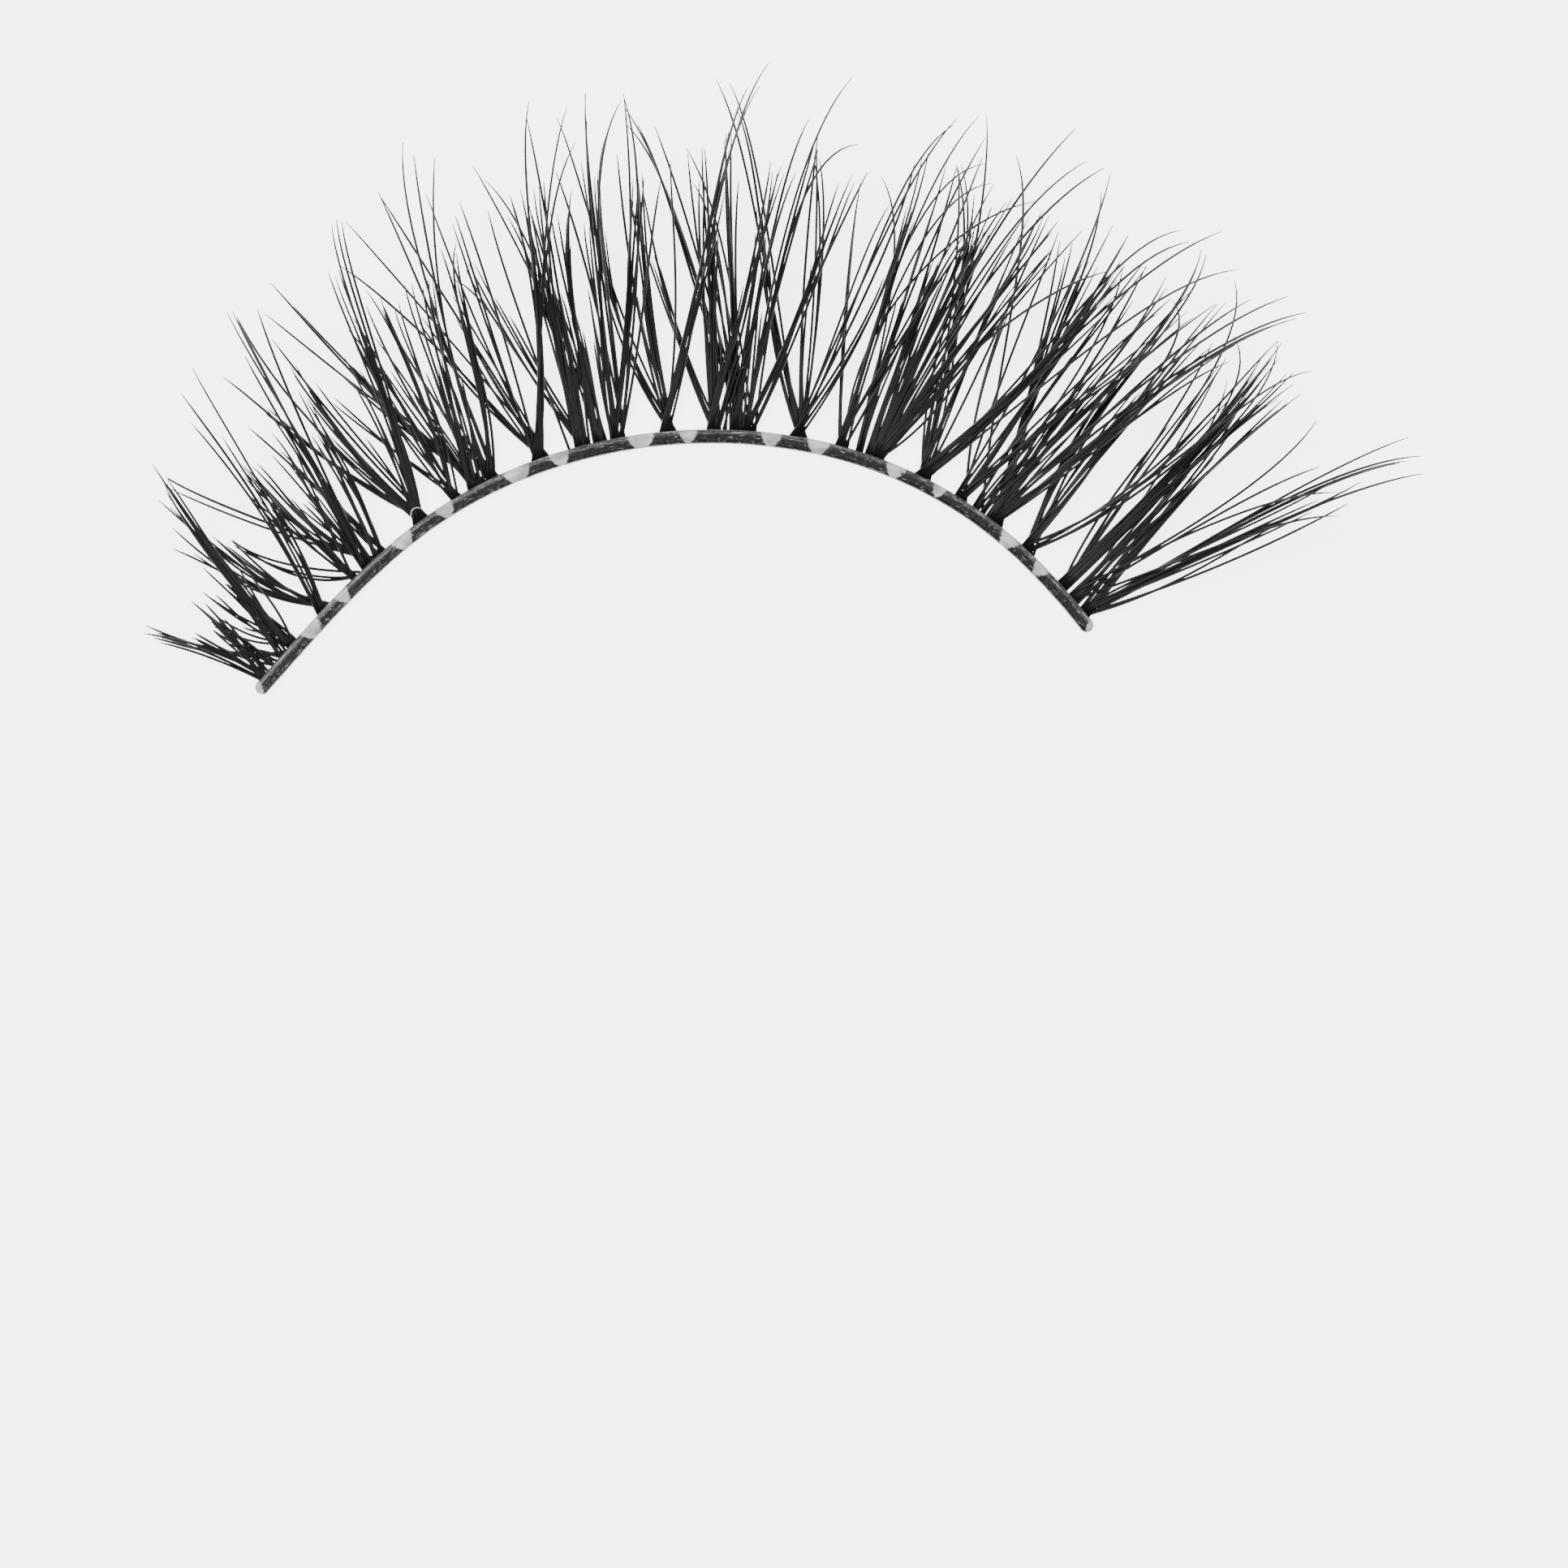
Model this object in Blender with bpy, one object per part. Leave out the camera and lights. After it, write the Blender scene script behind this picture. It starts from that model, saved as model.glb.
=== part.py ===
"""A false eyelash strip for an upper eyelid, lying on a surface with its lashes curling up.

A clear flat band bends round the hollow where the eyelid goes. Fifteen clusters of lashes are rooted in
notches along its outer edge: rows of three bunches, with single bunches between them. Each cluster is one
solid, a root block with tapered locks fused to it.

Frame: the origin is the middle of the band's underside, +X runs along the band towards the long lashes of
the outer corner, +Y points from the band towards the lash tips and +Z is up. Sizes are in metres.
"""
import math

import bpy
import bmesh
from mathutils import Vector

MM = 0.001

# Band
BAND_LENGTH = 34.0 * MM
BAND_WIDTH = 0.50 * MM
BAND_THICKNESS = 0.28 * MM
INNER_RIM = 0.12 * MM
BAND_STEP = 0.75 * MM
END_CAP_POINTS = 5

# Root blocks
ROOT_CLEARANCE = 0.03 * MM
ROOT_HEIGHT = 0.22 * MM
ROOT_PROUD = 0.06 * MM
BUNCH_WIDTH = 0.24 * MM

# Lashes
LONGEST_LASH = 13.0 * MM
LOCK_THICKNESS = 0.20 * MM
LOCK_CLEARANCE = 0.04 * MM
CURL_RADIUS = 12.0 * MM
BELLY_DISTANCE = 2.6 * MM
SIDE_BOW = 0.35
LOWEST_LEAN = math.radians(30)
WELD_DISTANCE = 0.0001 * MM

# The band's centre line is a chain of arcs, so its heading changes evenly between the rows.
# Columns: share of the band's length, heading in degrees from +X.
BAND_ARCS = [
    (0.00, 49.0),
    (0.10, 47.5),
    (0.20, 41.0),
    (0.35, 22.0),
    (0.50, 5.5),
    (0.65, -11.0),
    (0.80, -30.5),
    (0.90, -44.0),
    (1.00, -52.5),
]

# Where each root block starts and ends.
# Columns: start, end, as shares of the band's length.
ROOTS = [
    (0.007, 0.076),
    (0.094, 0.126),
    (0.137, 0.205),
    (0.223, 0.260),
    (0.274, 0.337),
    (0.360, 0.387),
    (0.402, 0.468),
    (0.489, 0.520),
    (0.533, 0.603),
    (0.618, 0.650),
    (0.667, 0.733),
    (0.748, 0.785),
    (0.793, 0.867),
    (0.884, 0.913),
    (0.925, 0.994),
]

# The bunches of lashes, from the short inner corner to the long outer corner.
# Columns: root block, place as a share of the band's length, lean of the left and right flank in degrees
# from straight out of the band, reach of the left flank, middle and right flank as shares of the longest
# lash, number of locks.
BUNCHES = [
    (1, 0.018, -24, 6, 0.32, 0.24, 0.27, 3),
    (1, 0.038, -32, 6, 0.33, 0.25, 0.28, 3),
    (1, 0.058, -8, 14, 0.38, 0.48, 0.58, 3),
    (2, 0.106, -22, 20, 0.42, 0.56, 0.71, 5),
    (3, 0.152, -22, 4, 0.55, 0.60, 0.64, 3),
    (3, 0.172, -10, 8, 0.64, 0.62, 0.68, 3),
    (3, 0.190, -6, 17, 0.64, 0.62, 0.76, 3),
    (4, 0.240, -20, 21, 0.64, 0.68, 0.83, 5),
    (5, 0.282, -20, 4, 0.71, 0.66, 0.66, 3),
    (5, 0.303, -10, 8, 0.68, 0.60, 0.68, 3),
    (5, 0.323, -8, 17, 0.66, 0.66, 0.87, 3),
    (6, 0.375, -22, 20, 0.75, 0.68, 0.93, 5),
    (7, 0.419, -20, 4, 0.80, 0.74, 0.72, 3),
    (7, 0.437, -10, 8, 0.76, 0.70, 0.82, 3),
    (7, 0.455, -8, 17, 0.74, 0.78, 0.92, 3),
    (8, 0.506, -22, 20, 0.82, 0.74, 0.98, 5),
    (9, 0.550, -20, 4, 0.86, 0.78, 0.78, 3),
    (9, 0.572, -10, 8, 0.80, 0.74, 0.84, 3),
    (9, 0.590, -7, 18, 0.80, 0.78, 0.96, 3),
    (10, 0.636, -24, 20, 0.92, 0.74, 0.96, 5),
    (11, 0.681, -20, 6, 0.86, 0.78, 0.80, 3),
    (11, 0.701, -12, 10, 0.82, 0.76, 0.90, 3),
    (11, 0.720, -8, 18, 0.82, 0.80, 1.00, 3),
    (12, 0.768, -22, 20, 0.92, 0.78, 0.98, 5),
    (13, 0.810, -22, 4, 0.90, 0.78, 0.80, 3),
    (13, 0.832, -14, 8, 0.84, 0.76, 0.86, 3),
    (13, 0.853, -12, 19, 0.88, 0.80, 0.97, 3),
    (14, 0.895, -16, 16, 0.90, 0.78, 0.90, 5),
    (15, 0.944, -16, 2, 0.86, 0.80, 0.86, 3),
    (15, 0.960, -9, 8, 0.84, 0.80, 0.84, 3),
    (15, 0.978, -10, 18, 0.84, 0.80, 0.95, 3),
]

# How a lock's thickness changes along it.
# Columns: share of the lock's reach, share of the full thickness.
LOCK_TAPER = [
    (0.00, 0.80),
    (0.10, 0.90),
    (0.25, 1.00),
    (0.45, 0.90),
    (0.65, 0.70),
    (0.85, 0.45),
    (1.00, 0.20),
]


def clear_scene():
    """Remove whatever the file opens with."""
    for item in list(bpy.data.objects):
        bpy.data.objects.remove(item, do_unlink=True)


def make_material(name, colour, roughness):
    """A plain surface in the part's own colour."""
    material = bpy.data.materials.new(name)
    material.use_nodes = True
    shader = material.node_tree.nodes["Principled BSDF"]
    shader.inputs["Base Color"].default_value = (*colour, 1.0)
    shader.inputs["Roughness"].default_value = roughness
    shader.inputs["Metallic"].default_value = 0.0
    material.diffuse_color = (*colour, 1.0)
    return material


def heading(share):
    """Direction of the band at a share of its length, in radians from +X."""
    share = min(max(share, 0.0), 1.0)
    for (start, start_angle), (end, end_angle) in zip(BAND_ARCS, BAND_ARCS[1:]):
        if share <= end:
            part = (share - start) / (end - start)
            return math.radians(start_angle + (end_angle - start_angle) * part)
    return math.radians(BAND_ARCS[-1][1])


def arc_step(start, end):
    """Way from one share of the band to another that lies on the same arc."""
    turn = heading(end) - heading(start)
    middle = (heading(start) + heading(end)) / 2
    chord = (end - start) * BAND_LENGTH * math.sin(turn / 2) / (turn / 2)
    return Vector((chord * math.cos(middle), chord * math.sin(middle)))


def way_from_end(share):
    """Way from the band's first end to a share of its length."""
    way = Vector((0.0, 0.0))
    for (start, _), (end, _) in zip(BAND_ARCS, BAND_ARCS[1:]):
        if share > start:
            way += arc_step(start, min(share, end))
    return way


def out_of_band(share):
    """Unit direction from the band towards the lash tips."""
    angle = heading(share)
    return Vector((-math.sin(angle), math.cos(angle)))


def along_band(share):
    """Unit direction along the band towards the outer corner."""
    angle = heading(share)
    return Vector((math.cos(angle), math.sin(angle)))


def band_point(share, offset=0.0):
    """Place on the band, an offset outwards from its centre line."""
    return way_from_end(share) - way_from_end(0.5) + out_of_band(share) * offset


def edge(start, end, offset):
    """Points along the band between two shares, an offset from its centre line."""
    steps = max(1, math.ceil(abs(end - start) * BAND_LENGTH / BAND_STEP))
    shares = [start + (end - start) * step / steps for step in range(steps + 1)]
    return [band_point(share, offset) for share in shares]


def round_end(share, side):
    """Points round one end of the band, between its inner and outer edge."""
    radius = BAND_WIDTH / 2
    centre = band_point(share)
    points = []
    for step in range(1, END_CAP_POINTS + 1):
        angle = math.pi * step / (END_CAP_POINTS + 1)
        forward = along_band(share) * (side * radius * math.sin(angle))
        outward = out_of_band(share) * (-side * radius * math.cos(angle))
        points.append(centre + forward + outward)
    return points


def flat_bar(name, points, bottom, top):
    """A flat outline with a thickness, as a closed mesh object."""
    curve = bpy.data.curves.new(name, "CURVE")
    curve.dimensions = "2D"
    curve.fill_mode = "BOTH"
    curve.extrude = (top - bottom) / 2
    spline = curve.splines.new("POLY")
    spline.points.add(len(points) - 1)
    for spline_point, point in zip(spline.points, points):
        spline_point.co = (point.x, point.y, 0.0, 1.0)
    spline.use_cyclic_u = True
    return curve_to_mesh(name, curve, (bottom + top) / 2)


def tapered_lock(name, points, thicknesses):
    """A lock of hair: a four-sided bar along a path, thinner towards its tip."""
    curve = bpy.data.curves.new(name, "CURVE")
    curve.dimensions = "3D"
    curve.bevel_depth = LOCK_THICKNESS / 2
    curve.bevel_resolution = 0
    curve.use_fill_caps = True
    spline = curve.splines.new("POLY")
    spline.points.add(len(points) - 1)
    for spline_point, point, thickness in zip(spline.points, points, thicknesses):
        spline_point.co = (*point, 1.0)
        spline_point.radius = thickness
    return curve_to_mesh(name, curve, 0.0)


def curve_to_mesh(name, curve, height):
    """Turn a curve into a mesh object with its caps welded on, lifted to its height."""
    guide = bpy.data.objects.new(name + "_guide", curve)
    bpy.context.scene.collection.objects.link(guide)
    guide.location.z = height
    bpy.context.view_layer.update()
    evaluated = guide.evaluated_get(bpy.context.evaluated_depsgraph_get())
    mesh = bpy.data.meshes.new_from_object(evaluated)
    mesh.name = name
    body = bmesh.new()
    body.from_mesh(mesh)
    bmesh.ops.remove_doubles(body, verts=body.verts, dist=WELD_DISTANCE)
    bmesh.ops.recalc_face_normals(body, faces=body.faces)
    body.to_mesh(mesh)
    body.free()
    solid = bpy.data.objects.new(name, mesh)
    solid.matrix_world = guide.matrix_world.copy()
    bpy.data.objects.remove(guide, do_unlink=True)
    return solid


def notch(root):
    """Shares of the band between which a root block's notch is open."""
    start, end = root
    gap = ROOT_CLEARANCE / BAND_LENGTH
    return start - gap, end + gap


def make_band(collection, material):
    """The clear band, with a notch in its outer edge for each root block."""
    outer = BAND_WIDTH / 2
    notch_floor = INNER_RIM - BAND_WIDTH / 2
    points = edge(0.0, 1.0, -outer) + round_end(1.0, 1)
    place = 1.0
    for root in reversed(ROOTS):
        start, end = notch(root)
        points += edge(place, end, outer)
        points += edge(end, start, notch_floor)
        place = start
    points += edge(place, 0.0, outer) + round_end(0.0, -1)
    band = flat_bar("band", points, 0.0, BAND_THICKNESS)
    band.data.materials.append(material)
    collection.objects.link(band)
    return band


def nearest_bunches():
    """Smallest spacing along the band between bunches of neighbouring clusters."""
    gaps = []
    for left, right in zip(BUNCHES, BUNCHES[1:]):
        if left[0] != right[0]:
            gaps.append((right[1] - left[1]) * BAND_LENGTH)
    return min(gaps)


def lift_rate():
    """Rise of a lock for each metre that it swings to the right.

    A lock that crosses one of the next cluster has swung further by their spacing, so this much rise
    carries it clear above.
    """
    return (LOCK_THICKNESS + LOCK_CLEARANCE) / (nearest_bunches() - BUNCH_WIDTH - LOCK_THICKNESS)


def curl_height(distance):
    """Height of the curled lashes at a distance out from the band.

    They sink from the band's middle to the surface that the strip lies on, then rise on the curl's arc.
    """
    belly = LOCK_THICKNESS / 2
    root = BAND_THICKNESS / 2
    if distance < BELLY_DISTANCE:
        return belly + (root - belly) * (1 - distance / BELLY_DISTANCE) ** 2
    past = distance - BELLY_DISTANCE
    return belly + CURL_RADIUS - math.sqrt(max(CURL_RADIUS ** 2 - past ** 2, 0.0))


def lock_path(place, lean, reach, foot_offset):
    """Points of one lock, from inside its root block to its tip."""
    foot = BAND_WIDTH / 2 - LOCK_THICKNESS / 2
    swing = reach * math.sin(lean)
    out = reach * math.cos(lean)
    points = []
    for share, _ in LOCK_TAPER:
        sideways = swing * share * (1 + SIDE_BOW * (1 - share))
        distance = out * share
        lift = lift_rate() * max(sideways + distance * math.tan(LOWEST_LEAN), 0.0)
        flat = (band_point(place, foot) + along_band(place) * (foot_offset + sideways)
                + out_of_band(place) * distance)
        points.append((flat.x, flat.y, curl_height(distance) + lift))
    return points


def bunch_locks(bunch):
    """The locks of one bunch, spread evenly between its left and right flank."""
    _, place, left_lean, right_lean, left_reach, middle_reach, right_reach, count = bunch
    thicknesses = [thickness for _, thickness in LOCK_TAPER]
    locks = []
    for number in range(count):
        across = number / (count - 1)
        lean = math.radians(left_lean + (right_lean - left_lean) * across)
        flank = left_reach if across < 0.5 else right_reach
        reach = LONGEST_LASH * (middle_reach + (flank - middle_reach) * abs(2 * across - 1))
        foot_offset = BUNCH_WIDTH * (across - 0.5)
        path = lock_path(place, lean, reach, foot_offset)
        locks.append(tapered_lock("lock", path, thicknesses))
    return locks


def fuse(base, additions):
    """Join solids that run into one another into one body."""
    cutters = bpy.data.collections.new("locks_to_fuse")
    bpy.context.scene.collection.children.link(cutters)
    for addition in additions:
        cutters.objects.link(addition)
    union = base.modifiers.new("fuse_locks", "BOOLEAN")
    union.operation = "UNION"
    union.solver = "EXACT"
    union.operand_type = "COLLECTION"
    union.collection = cutters
    union.use_self = True
    bpy.context.view_layer.update()
    evaluated = base.evaluated_get(bpy.context.evaluated_depsgraph_get())
    fused = bpy.data.meshes.new_from_object(evaluated)
    base.modifiers.clear()
    fused.name = base.data.name
    base.data = fused
    for addition in additions:
        bpy.data.objects.remove(addition, do_unlink=True)
    bpy.data.collections.remove(cutters)


def make_cluster(number, root, collection, material):
    """One lash cluster: its root block with the locks of its bunches fused to it."""
    start, end = root
    inner = INNER_RIM + ROOT_CLEARANCE - BAND_WIDTH / 2
    outer = BAND_WIDTH / 2 + ROOT_PROUD
    outline = edge(start, end, inner) + edge(end, start, outer)
    bottom = (BAND_THICKNESS - ROOT_HEIGHT) / 2
    cluster = flat_bar(f"lash_cluster_{number:02d}", outline, bottom, bottom + ROOT_HEIGHT)
    collection.objects.link(cluster)
    locks = [lock for bunch in BUNCHES if bunch[0] == number for lock in bunch_locks(bunch)]
    fuse(cluster, locks)
    cluster.data.materials.clear()
    cluster.data.materials.append(material)
    return cluster


def main():
    clear_scene()
    parts = bpy.data.collections.new("false_eyelash_strip")
    bpy.context.scene.collection.children.link(parts)
    clear = make_material("clear_band", (0.55, 0.58, 0.57), 0.25)
    hair = make_material("lash_hair", (0.02, 0.02, 0.022), 0.45)
    make_band(parts, clear)
    for number, root in enumerate(ROOTS, start=1):
        make_cluster(number, root, parts, hair)


main()
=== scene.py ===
# %% [markdown]
# # A false eyelash strip, hair by hair
#
# This notebook dresses the CAD model of a false eyelash strip. The strip lies on a pale table with its
# lashes curling up. It has a clear band, about as thick as a fishing line and as long as an eyelid, and
# fifteen clusters of lashes whose roots are knotted into it.
#
# The CAD model has the band and one solid for each cluster. Real lashes are single fibres, a tenth of a
# millimetre thick, so here each cluster's solid is replaced by its hairs, and the band by a cloudy clear
# strip with the dark root knots showing through it.

# %% Load the frame
import math
import random

import bmesh
import bpy
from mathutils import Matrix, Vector


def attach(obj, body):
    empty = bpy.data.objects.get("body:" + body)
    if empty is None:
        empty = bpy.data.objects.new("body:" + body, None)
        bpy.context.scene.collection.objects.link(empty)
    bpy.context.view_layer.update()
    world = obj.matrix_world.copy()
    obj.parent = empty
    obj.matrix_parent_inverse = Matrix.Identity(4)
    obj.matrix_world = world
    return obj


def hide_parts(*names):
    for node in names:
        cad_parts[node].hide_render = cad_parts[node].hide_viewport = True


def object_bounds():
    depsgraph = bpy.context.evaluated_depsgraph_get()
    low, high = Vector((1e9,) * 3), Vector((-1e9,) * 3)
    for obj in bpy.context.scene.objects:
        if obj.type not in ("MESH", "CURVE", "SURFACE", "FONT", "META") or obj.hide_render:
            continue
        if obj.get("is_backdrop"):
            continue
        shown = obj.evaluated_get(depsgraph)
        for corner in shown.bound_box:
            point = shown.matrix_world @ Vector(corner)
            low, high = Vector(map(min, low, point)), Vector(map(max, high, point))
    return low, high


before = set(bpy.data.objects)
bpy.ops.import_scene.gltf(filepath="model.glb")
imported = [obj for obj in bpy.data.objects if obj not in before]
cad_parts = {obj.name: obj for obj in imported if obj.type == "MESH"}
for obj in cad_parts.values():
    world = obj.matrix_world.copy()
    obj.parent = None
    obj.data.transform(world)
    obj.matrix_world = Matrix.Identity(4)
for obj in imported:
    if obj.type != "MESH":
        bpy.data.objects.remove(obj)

cad_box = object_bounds()
MM = 0.001
cad_size = [round((high - low) / MM, 2) for low, high in zip(*cad_box)]
print("CAD nodes:", len(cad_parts), "size in mm:", cad_size)

# %% [markdown]
# ## Camera
#
# The picture was taken from straight above, with the strip lying flat. A real macro lens stands some way
# off, so the camera here is a perspective one, half a metre up, and its long lens frames 54 mm of the
# table. The strip isn't in the middle of the picture: the camera stands over the middle of the frame
# instead.

# %% Camera over the table
PICTURE_WIDTH = 54.1 * MM
CAMERA_HEIGHT = 500.0 * MM
SENSOR_WIDTH = 36.0
PICTURE_CENTRE = Vector((4.20, -11.91)) * MM


def make_camera():
    """A long lens that looks straight down at the middle of the picture."""
    data = bpy.data.cameras.new("camera")
    data.sensor_width = SENSOR_WIDTH
    data.lens = SENSOR_WIDTH * CAMERA_HEIGHT / PICTURE_WIDTH
    data.clip_start = 0.01
    data.clip_end = 10.0
    camera = bpy.data.objects.new("camera", data)
    camera.location = (*PICTURE_CENTRE, CAMERA_HEIGHT)
    bpy.context.scene.collection.objects.link(camera)
    bpy.context.scene.camera = camera
    return camera


camera = make_camera()
print("Lens in mm:", round(camera.data.lens, 1))

# %% [markdown]
# ## Table and light
#
# The strip was shot on a white table that is lit so brightly that it shows no shadow. A white floor that
# also glows a little does the same: the glow fills the faint shadows that thin hairs cast. Two large soft
# lamps give the band and the hairs their long, quiet highlights.

# %% White table
FLOOR_SIZE = 3.0
FLOOR_COLOUR = (0.90, 0.90, 0.90, 1.0)
FLOOR_GLOW = 4.0


def make_table():
    """A large white floor under the strip."""
    mesh = bpy.data.meshes.new("table")
    half = FLOOR_SIZE / 2
    corners = [(-half, -half, 0.0), (half, -half, 0.0), (half, half, 0.0), (-half, half, 0.0)]
    mesh.from_pydata(corners, [], [(0, 1, 2, 3)])
    table = bpy.data.objects.new("table", mesh)
    table.location.z = -0.01 * MM
    bpy.context.scene.collection.objects.link(table)
    material = bpy.data.materials.new("white_table")
    material.use_nodes = True
    shader = material.node_tree.nodes["Principled BSDF"]
    shader.inputs["Base Color"].default_value = FLOOR_COLOUR
    shader.inputs["Roughness"].default_value = 0.85
    shader.inputs["Specular IOR Level"].default_value = 0.1
    shader.inputs["Emission Color"].default_value = (1.0, 1.0, 1.0, 1.0)
    shader.inputs["Emission Strength"].default_value = FLOOR_GLOW
    mesh.materials.append(material)
    table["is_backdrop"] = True
    return table


table = make_table()
print("Table:", FLOOR_SIZE, "m wide")

# %% Studio light
SKY_STRENGTH = 0.45
LAMPS = [
    # name, place in metres, size in metres, watts
    ("lamp_left", (-0.35, 0.15, 0.60), 0.50, 6.0),
    ("lamp_right", (0.40, -0.10, 0.70), 0.60, 5.0),
]


def make_lamp(name, place, size, watts):
    """A square soft lamp that faces the strip."""
    data = bpy.data.lights.new(name, "AREA")
    data.size = size
    data.energy = watts
    lamp = bpy.data.objects.new(name, data)
    lamp.location = place
    lamp.rotation_euler = (-Vector(place)).to_track_quat("-Z", "Y").to_euler()
    bpy.context.scene.collection.objects.link(lamp)


def make_sky():
    """An even white surrounding."""
    world = bpy.data.worlds.new("white_studio")
    world.use_nodes = True
    background = world.node_tree.nodes["Background"]
    background.inputs["Color"].default_value = (1.0, 1.0, 1.0, 1.0)
    background.inputs["Strength"].default_value = SKY_STRENGTH
    bpy.context.scene.world = world


make_sky()
for lamp in LAMPS:
    make_lamp(*lamp)
print("Lamps:", len(LAMPS))

# %% [markdown]
# ## The line of the band
#
# A strip lash is straight when it is made, and it bends to the eyelid's arch. Its middle line is a chain of
# arcs, the same one as in the CAD model: a table says which way the band heads at each share of its length.
# Everything else is placed from that line, so a hair's foot can be given as a share of the band's length.

# %% Band line
BAND_LENGTH = 34.0 * MM
BAND_WIDTH = 0.50 * MM
BAND_THICKNESS = 0.28 * MM

# Columns: share of the band's length, heading in degrees from +X.
BAND_ARCS = [(0.00, 49.0), (0.10, 47.5), (0.20, 41.0), (0.35, 22.0), (0.50, 5.5), (0.65, -11.0),
             (0.80, -30.5), (0.90, -44.0), (1.00, -52.5)]


def heading(share):
    """Direction of the band at a share of its length, in radians from +X."""
    share = min(max(share, 0.0), 1.0)
    for (start, start_angle), (end, end_angle) in zip(BAND_ARCS, BAND_ARCS[1:]):
        if share <= end:
            part = (share - start) / (end - start)
            return math.radians(start_angle + (end_angle - start_angle) * part)


def arc_step(start, end):
    """Way from one share of the band to another that lies on the same arc."""
    turn = heading(end) - heading(start)
    middle = (heading(start) + heading(end)) / 2
    chord = (end - start) * BAND_LENGTH * (math.sin(turn / 2) / (turn / 2) if turn else 1.0)
    return Vector((chord * math.cos(middle), chord * math.sin(middle)))


def way_from_end(share):
    """Way from the band's first end to a share of its length."""
    way = Vector((0.0, 0.0))
    for (start, _), (end, _) in zip(BAND_ARCS, BAND_ARCS[1:]):
        if share > start:
            way += arc_step(start, min(share, end))
    return way


BAND_MIDDLE = way_from_end(0.5)


def along_band(share):
    """Unit direction along the band towards the outer corner."""
    return Vector((math.cos(heading(share)), math.sin(heading(share))))


def out_of_band(share):
    """Unit direction from the band towards the lash tips."""
    return Vector((-math.sin(heading(share)), math.cos(heading(share))))


def band_point(share, offset=0.0):
    """Place on the band, an offset outwards from its middle line."""
    return way_from_end(share) - BAND_MIDDLE + out_of_band(share) * offset


ends = [tuple(round(value / MM, 1) for value in band_point(share)) for share in (0.0, 1.0)]
print("Band ends in mm:", ends)

# %% [markdown]
# ## One hair's path
#
# Seen from above, a lash leaves the band at one lean and bends to another at its tip. A cubic Bezier curve
# has exactly that: two end points, and a handle at each that sets the direction. So each hair is charted by
# where its foot is, where its tip is, and its lean at both, and the curve fills in the rest.
#
# Each cluster is charted as if the band lay level under it. Leans are in degrees from straight out of the
# band, and a lean to the right, towards the outer corner, is positive.

# %% Path of a hair seen from above
FOOT_DEPTH = 0.08 * MM
ROOT_HANDLE = 0.45
TIP_HANDLE = 0.20
PATH_STEPS = 20

# Where each cluster is charted from, as shares of the band's length.
CLUSTER_PLACES = [0.039, 0.107, 0.171, 0.240, 0.304, 0.375, 0.437, 0.507,
                  0.570, 0.636, 0.701, 0.768, 0.831, 0.895, 0.961]


def lean_direction(lean, place):
    """Unit direction seen from above of a lean from straight out of the band."""
    return out_of_band(place) * math.cos(lean) + along_band(place) * math.sin(lean)


def seen_path(cluster, foot, tip, leaving, arriving, sideways=0.0):
    """Points of a hair as the picture shows it, from its foot on the band to its tip."""
    place = CLUSTER_PLACES[cluster - 1]
    foot_place = place + foot * MM / BAND_LENGTH
    start = band_point(foot_place, BAND_WIDTH / 2 - FOOT_DEPTH) + along_band(foot_place) * sideways
    base = band_point(place, BAND_WIDTH / 2)
    end = base + along_band(place) * (tip[0] * MM) + out_of_band(place) * (tip[1] * MM)
    length = (end - start).length
    first = start + lean_direction(leaving, place) * (length * ROOT_HANDLE)
    second = end - lean_direction(arriving, place) * (length * TIP_HANDLE)
    points = []
    for step in range(PATH_STEPS + 1):
        t = step / PATH_STEPS
        points.append(start * (1 - t) ** 3 + first * (3 * t * (1 - t) ** 2)
                      + second * (3 * t ** 2 * (1 - t)) + end * t ** 3)
    return points, foot_place


test_path, _ = seen_path(8, 0.0, (0.0, 10.0), 0.0, 0.0)
print("Test hair in mm:", round((test_path[-1] - test_path[0]).length / MM, 2))

# %% [markdown]
# ## The curl
#
# Lashes curl up as on an eyelid. From the side, a hair dips from the band's middle almost to the table a
# little way out, and then rises on an arc of about 12 mm radius. Hairs that lean to the right ride over
# those of the next cluster, so they rise a little more: the CAD solids follow the same rule.
#
# A raised point looks further from the middle of the picture than it is. The chart is read from the
# picture, so each point is drawn in towards the camera's axis by as much as its height pushes it out.

# %% Heights of a hair
CURL_RADIUS = 12.0 * MM
BELLY_DISTANCE = 2.6 * MM
BELLY_HEIGHT = 0.10 * MM
LIFT_RATE = 0.243
LOWEST_LEAN = math.radians(30)


def curl_height(distance, radius=CURL_RADIUS):
    """Height of a curled lash at a distance out from the band."""
    root = BAND_THICKNESS / 2
    if distance < BELLY_DISTANCE:
        return BELLY_HEIGHT + (root - BELLY_HEIGHT) * (1 - distance / BELLY_DISTANCE) ** 2
    past = min(distance - BELLY_DISTANCE, radius * 0.98)
    return BELLY_HEIGHT + radius - math.sqrt(radius ** 2 - past ** 2)


def raised(points, place, radius=CURL_RADIUS, extra=0.0):
    """The points of a flat path lifted onto the curl, where the camera sees them in the same place."""
    lifted = []
    for point in points:
        way = point - points[0]
        distance = max(way.dot(out_of_band(place)), 0.0)
        sideways = way.dot(along_band(place))
        lift = LIFT_RATE * max(sideways + distance * math.tan(LOWEST_LEAN), 0.0)
        height = curl_height(distance, radius) + lift + extra * distance
        seen = (point - PICTURE_CENTRE) * (1 - height / CAMERA_HEIGHT) + PICTURE_CENTRE
        lifted.append(Vector((*seen, height)))
    return lifted


print("Height 12 mm out:", round(curl_height(12 * MM) / MM, 2), "mm")

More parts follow.
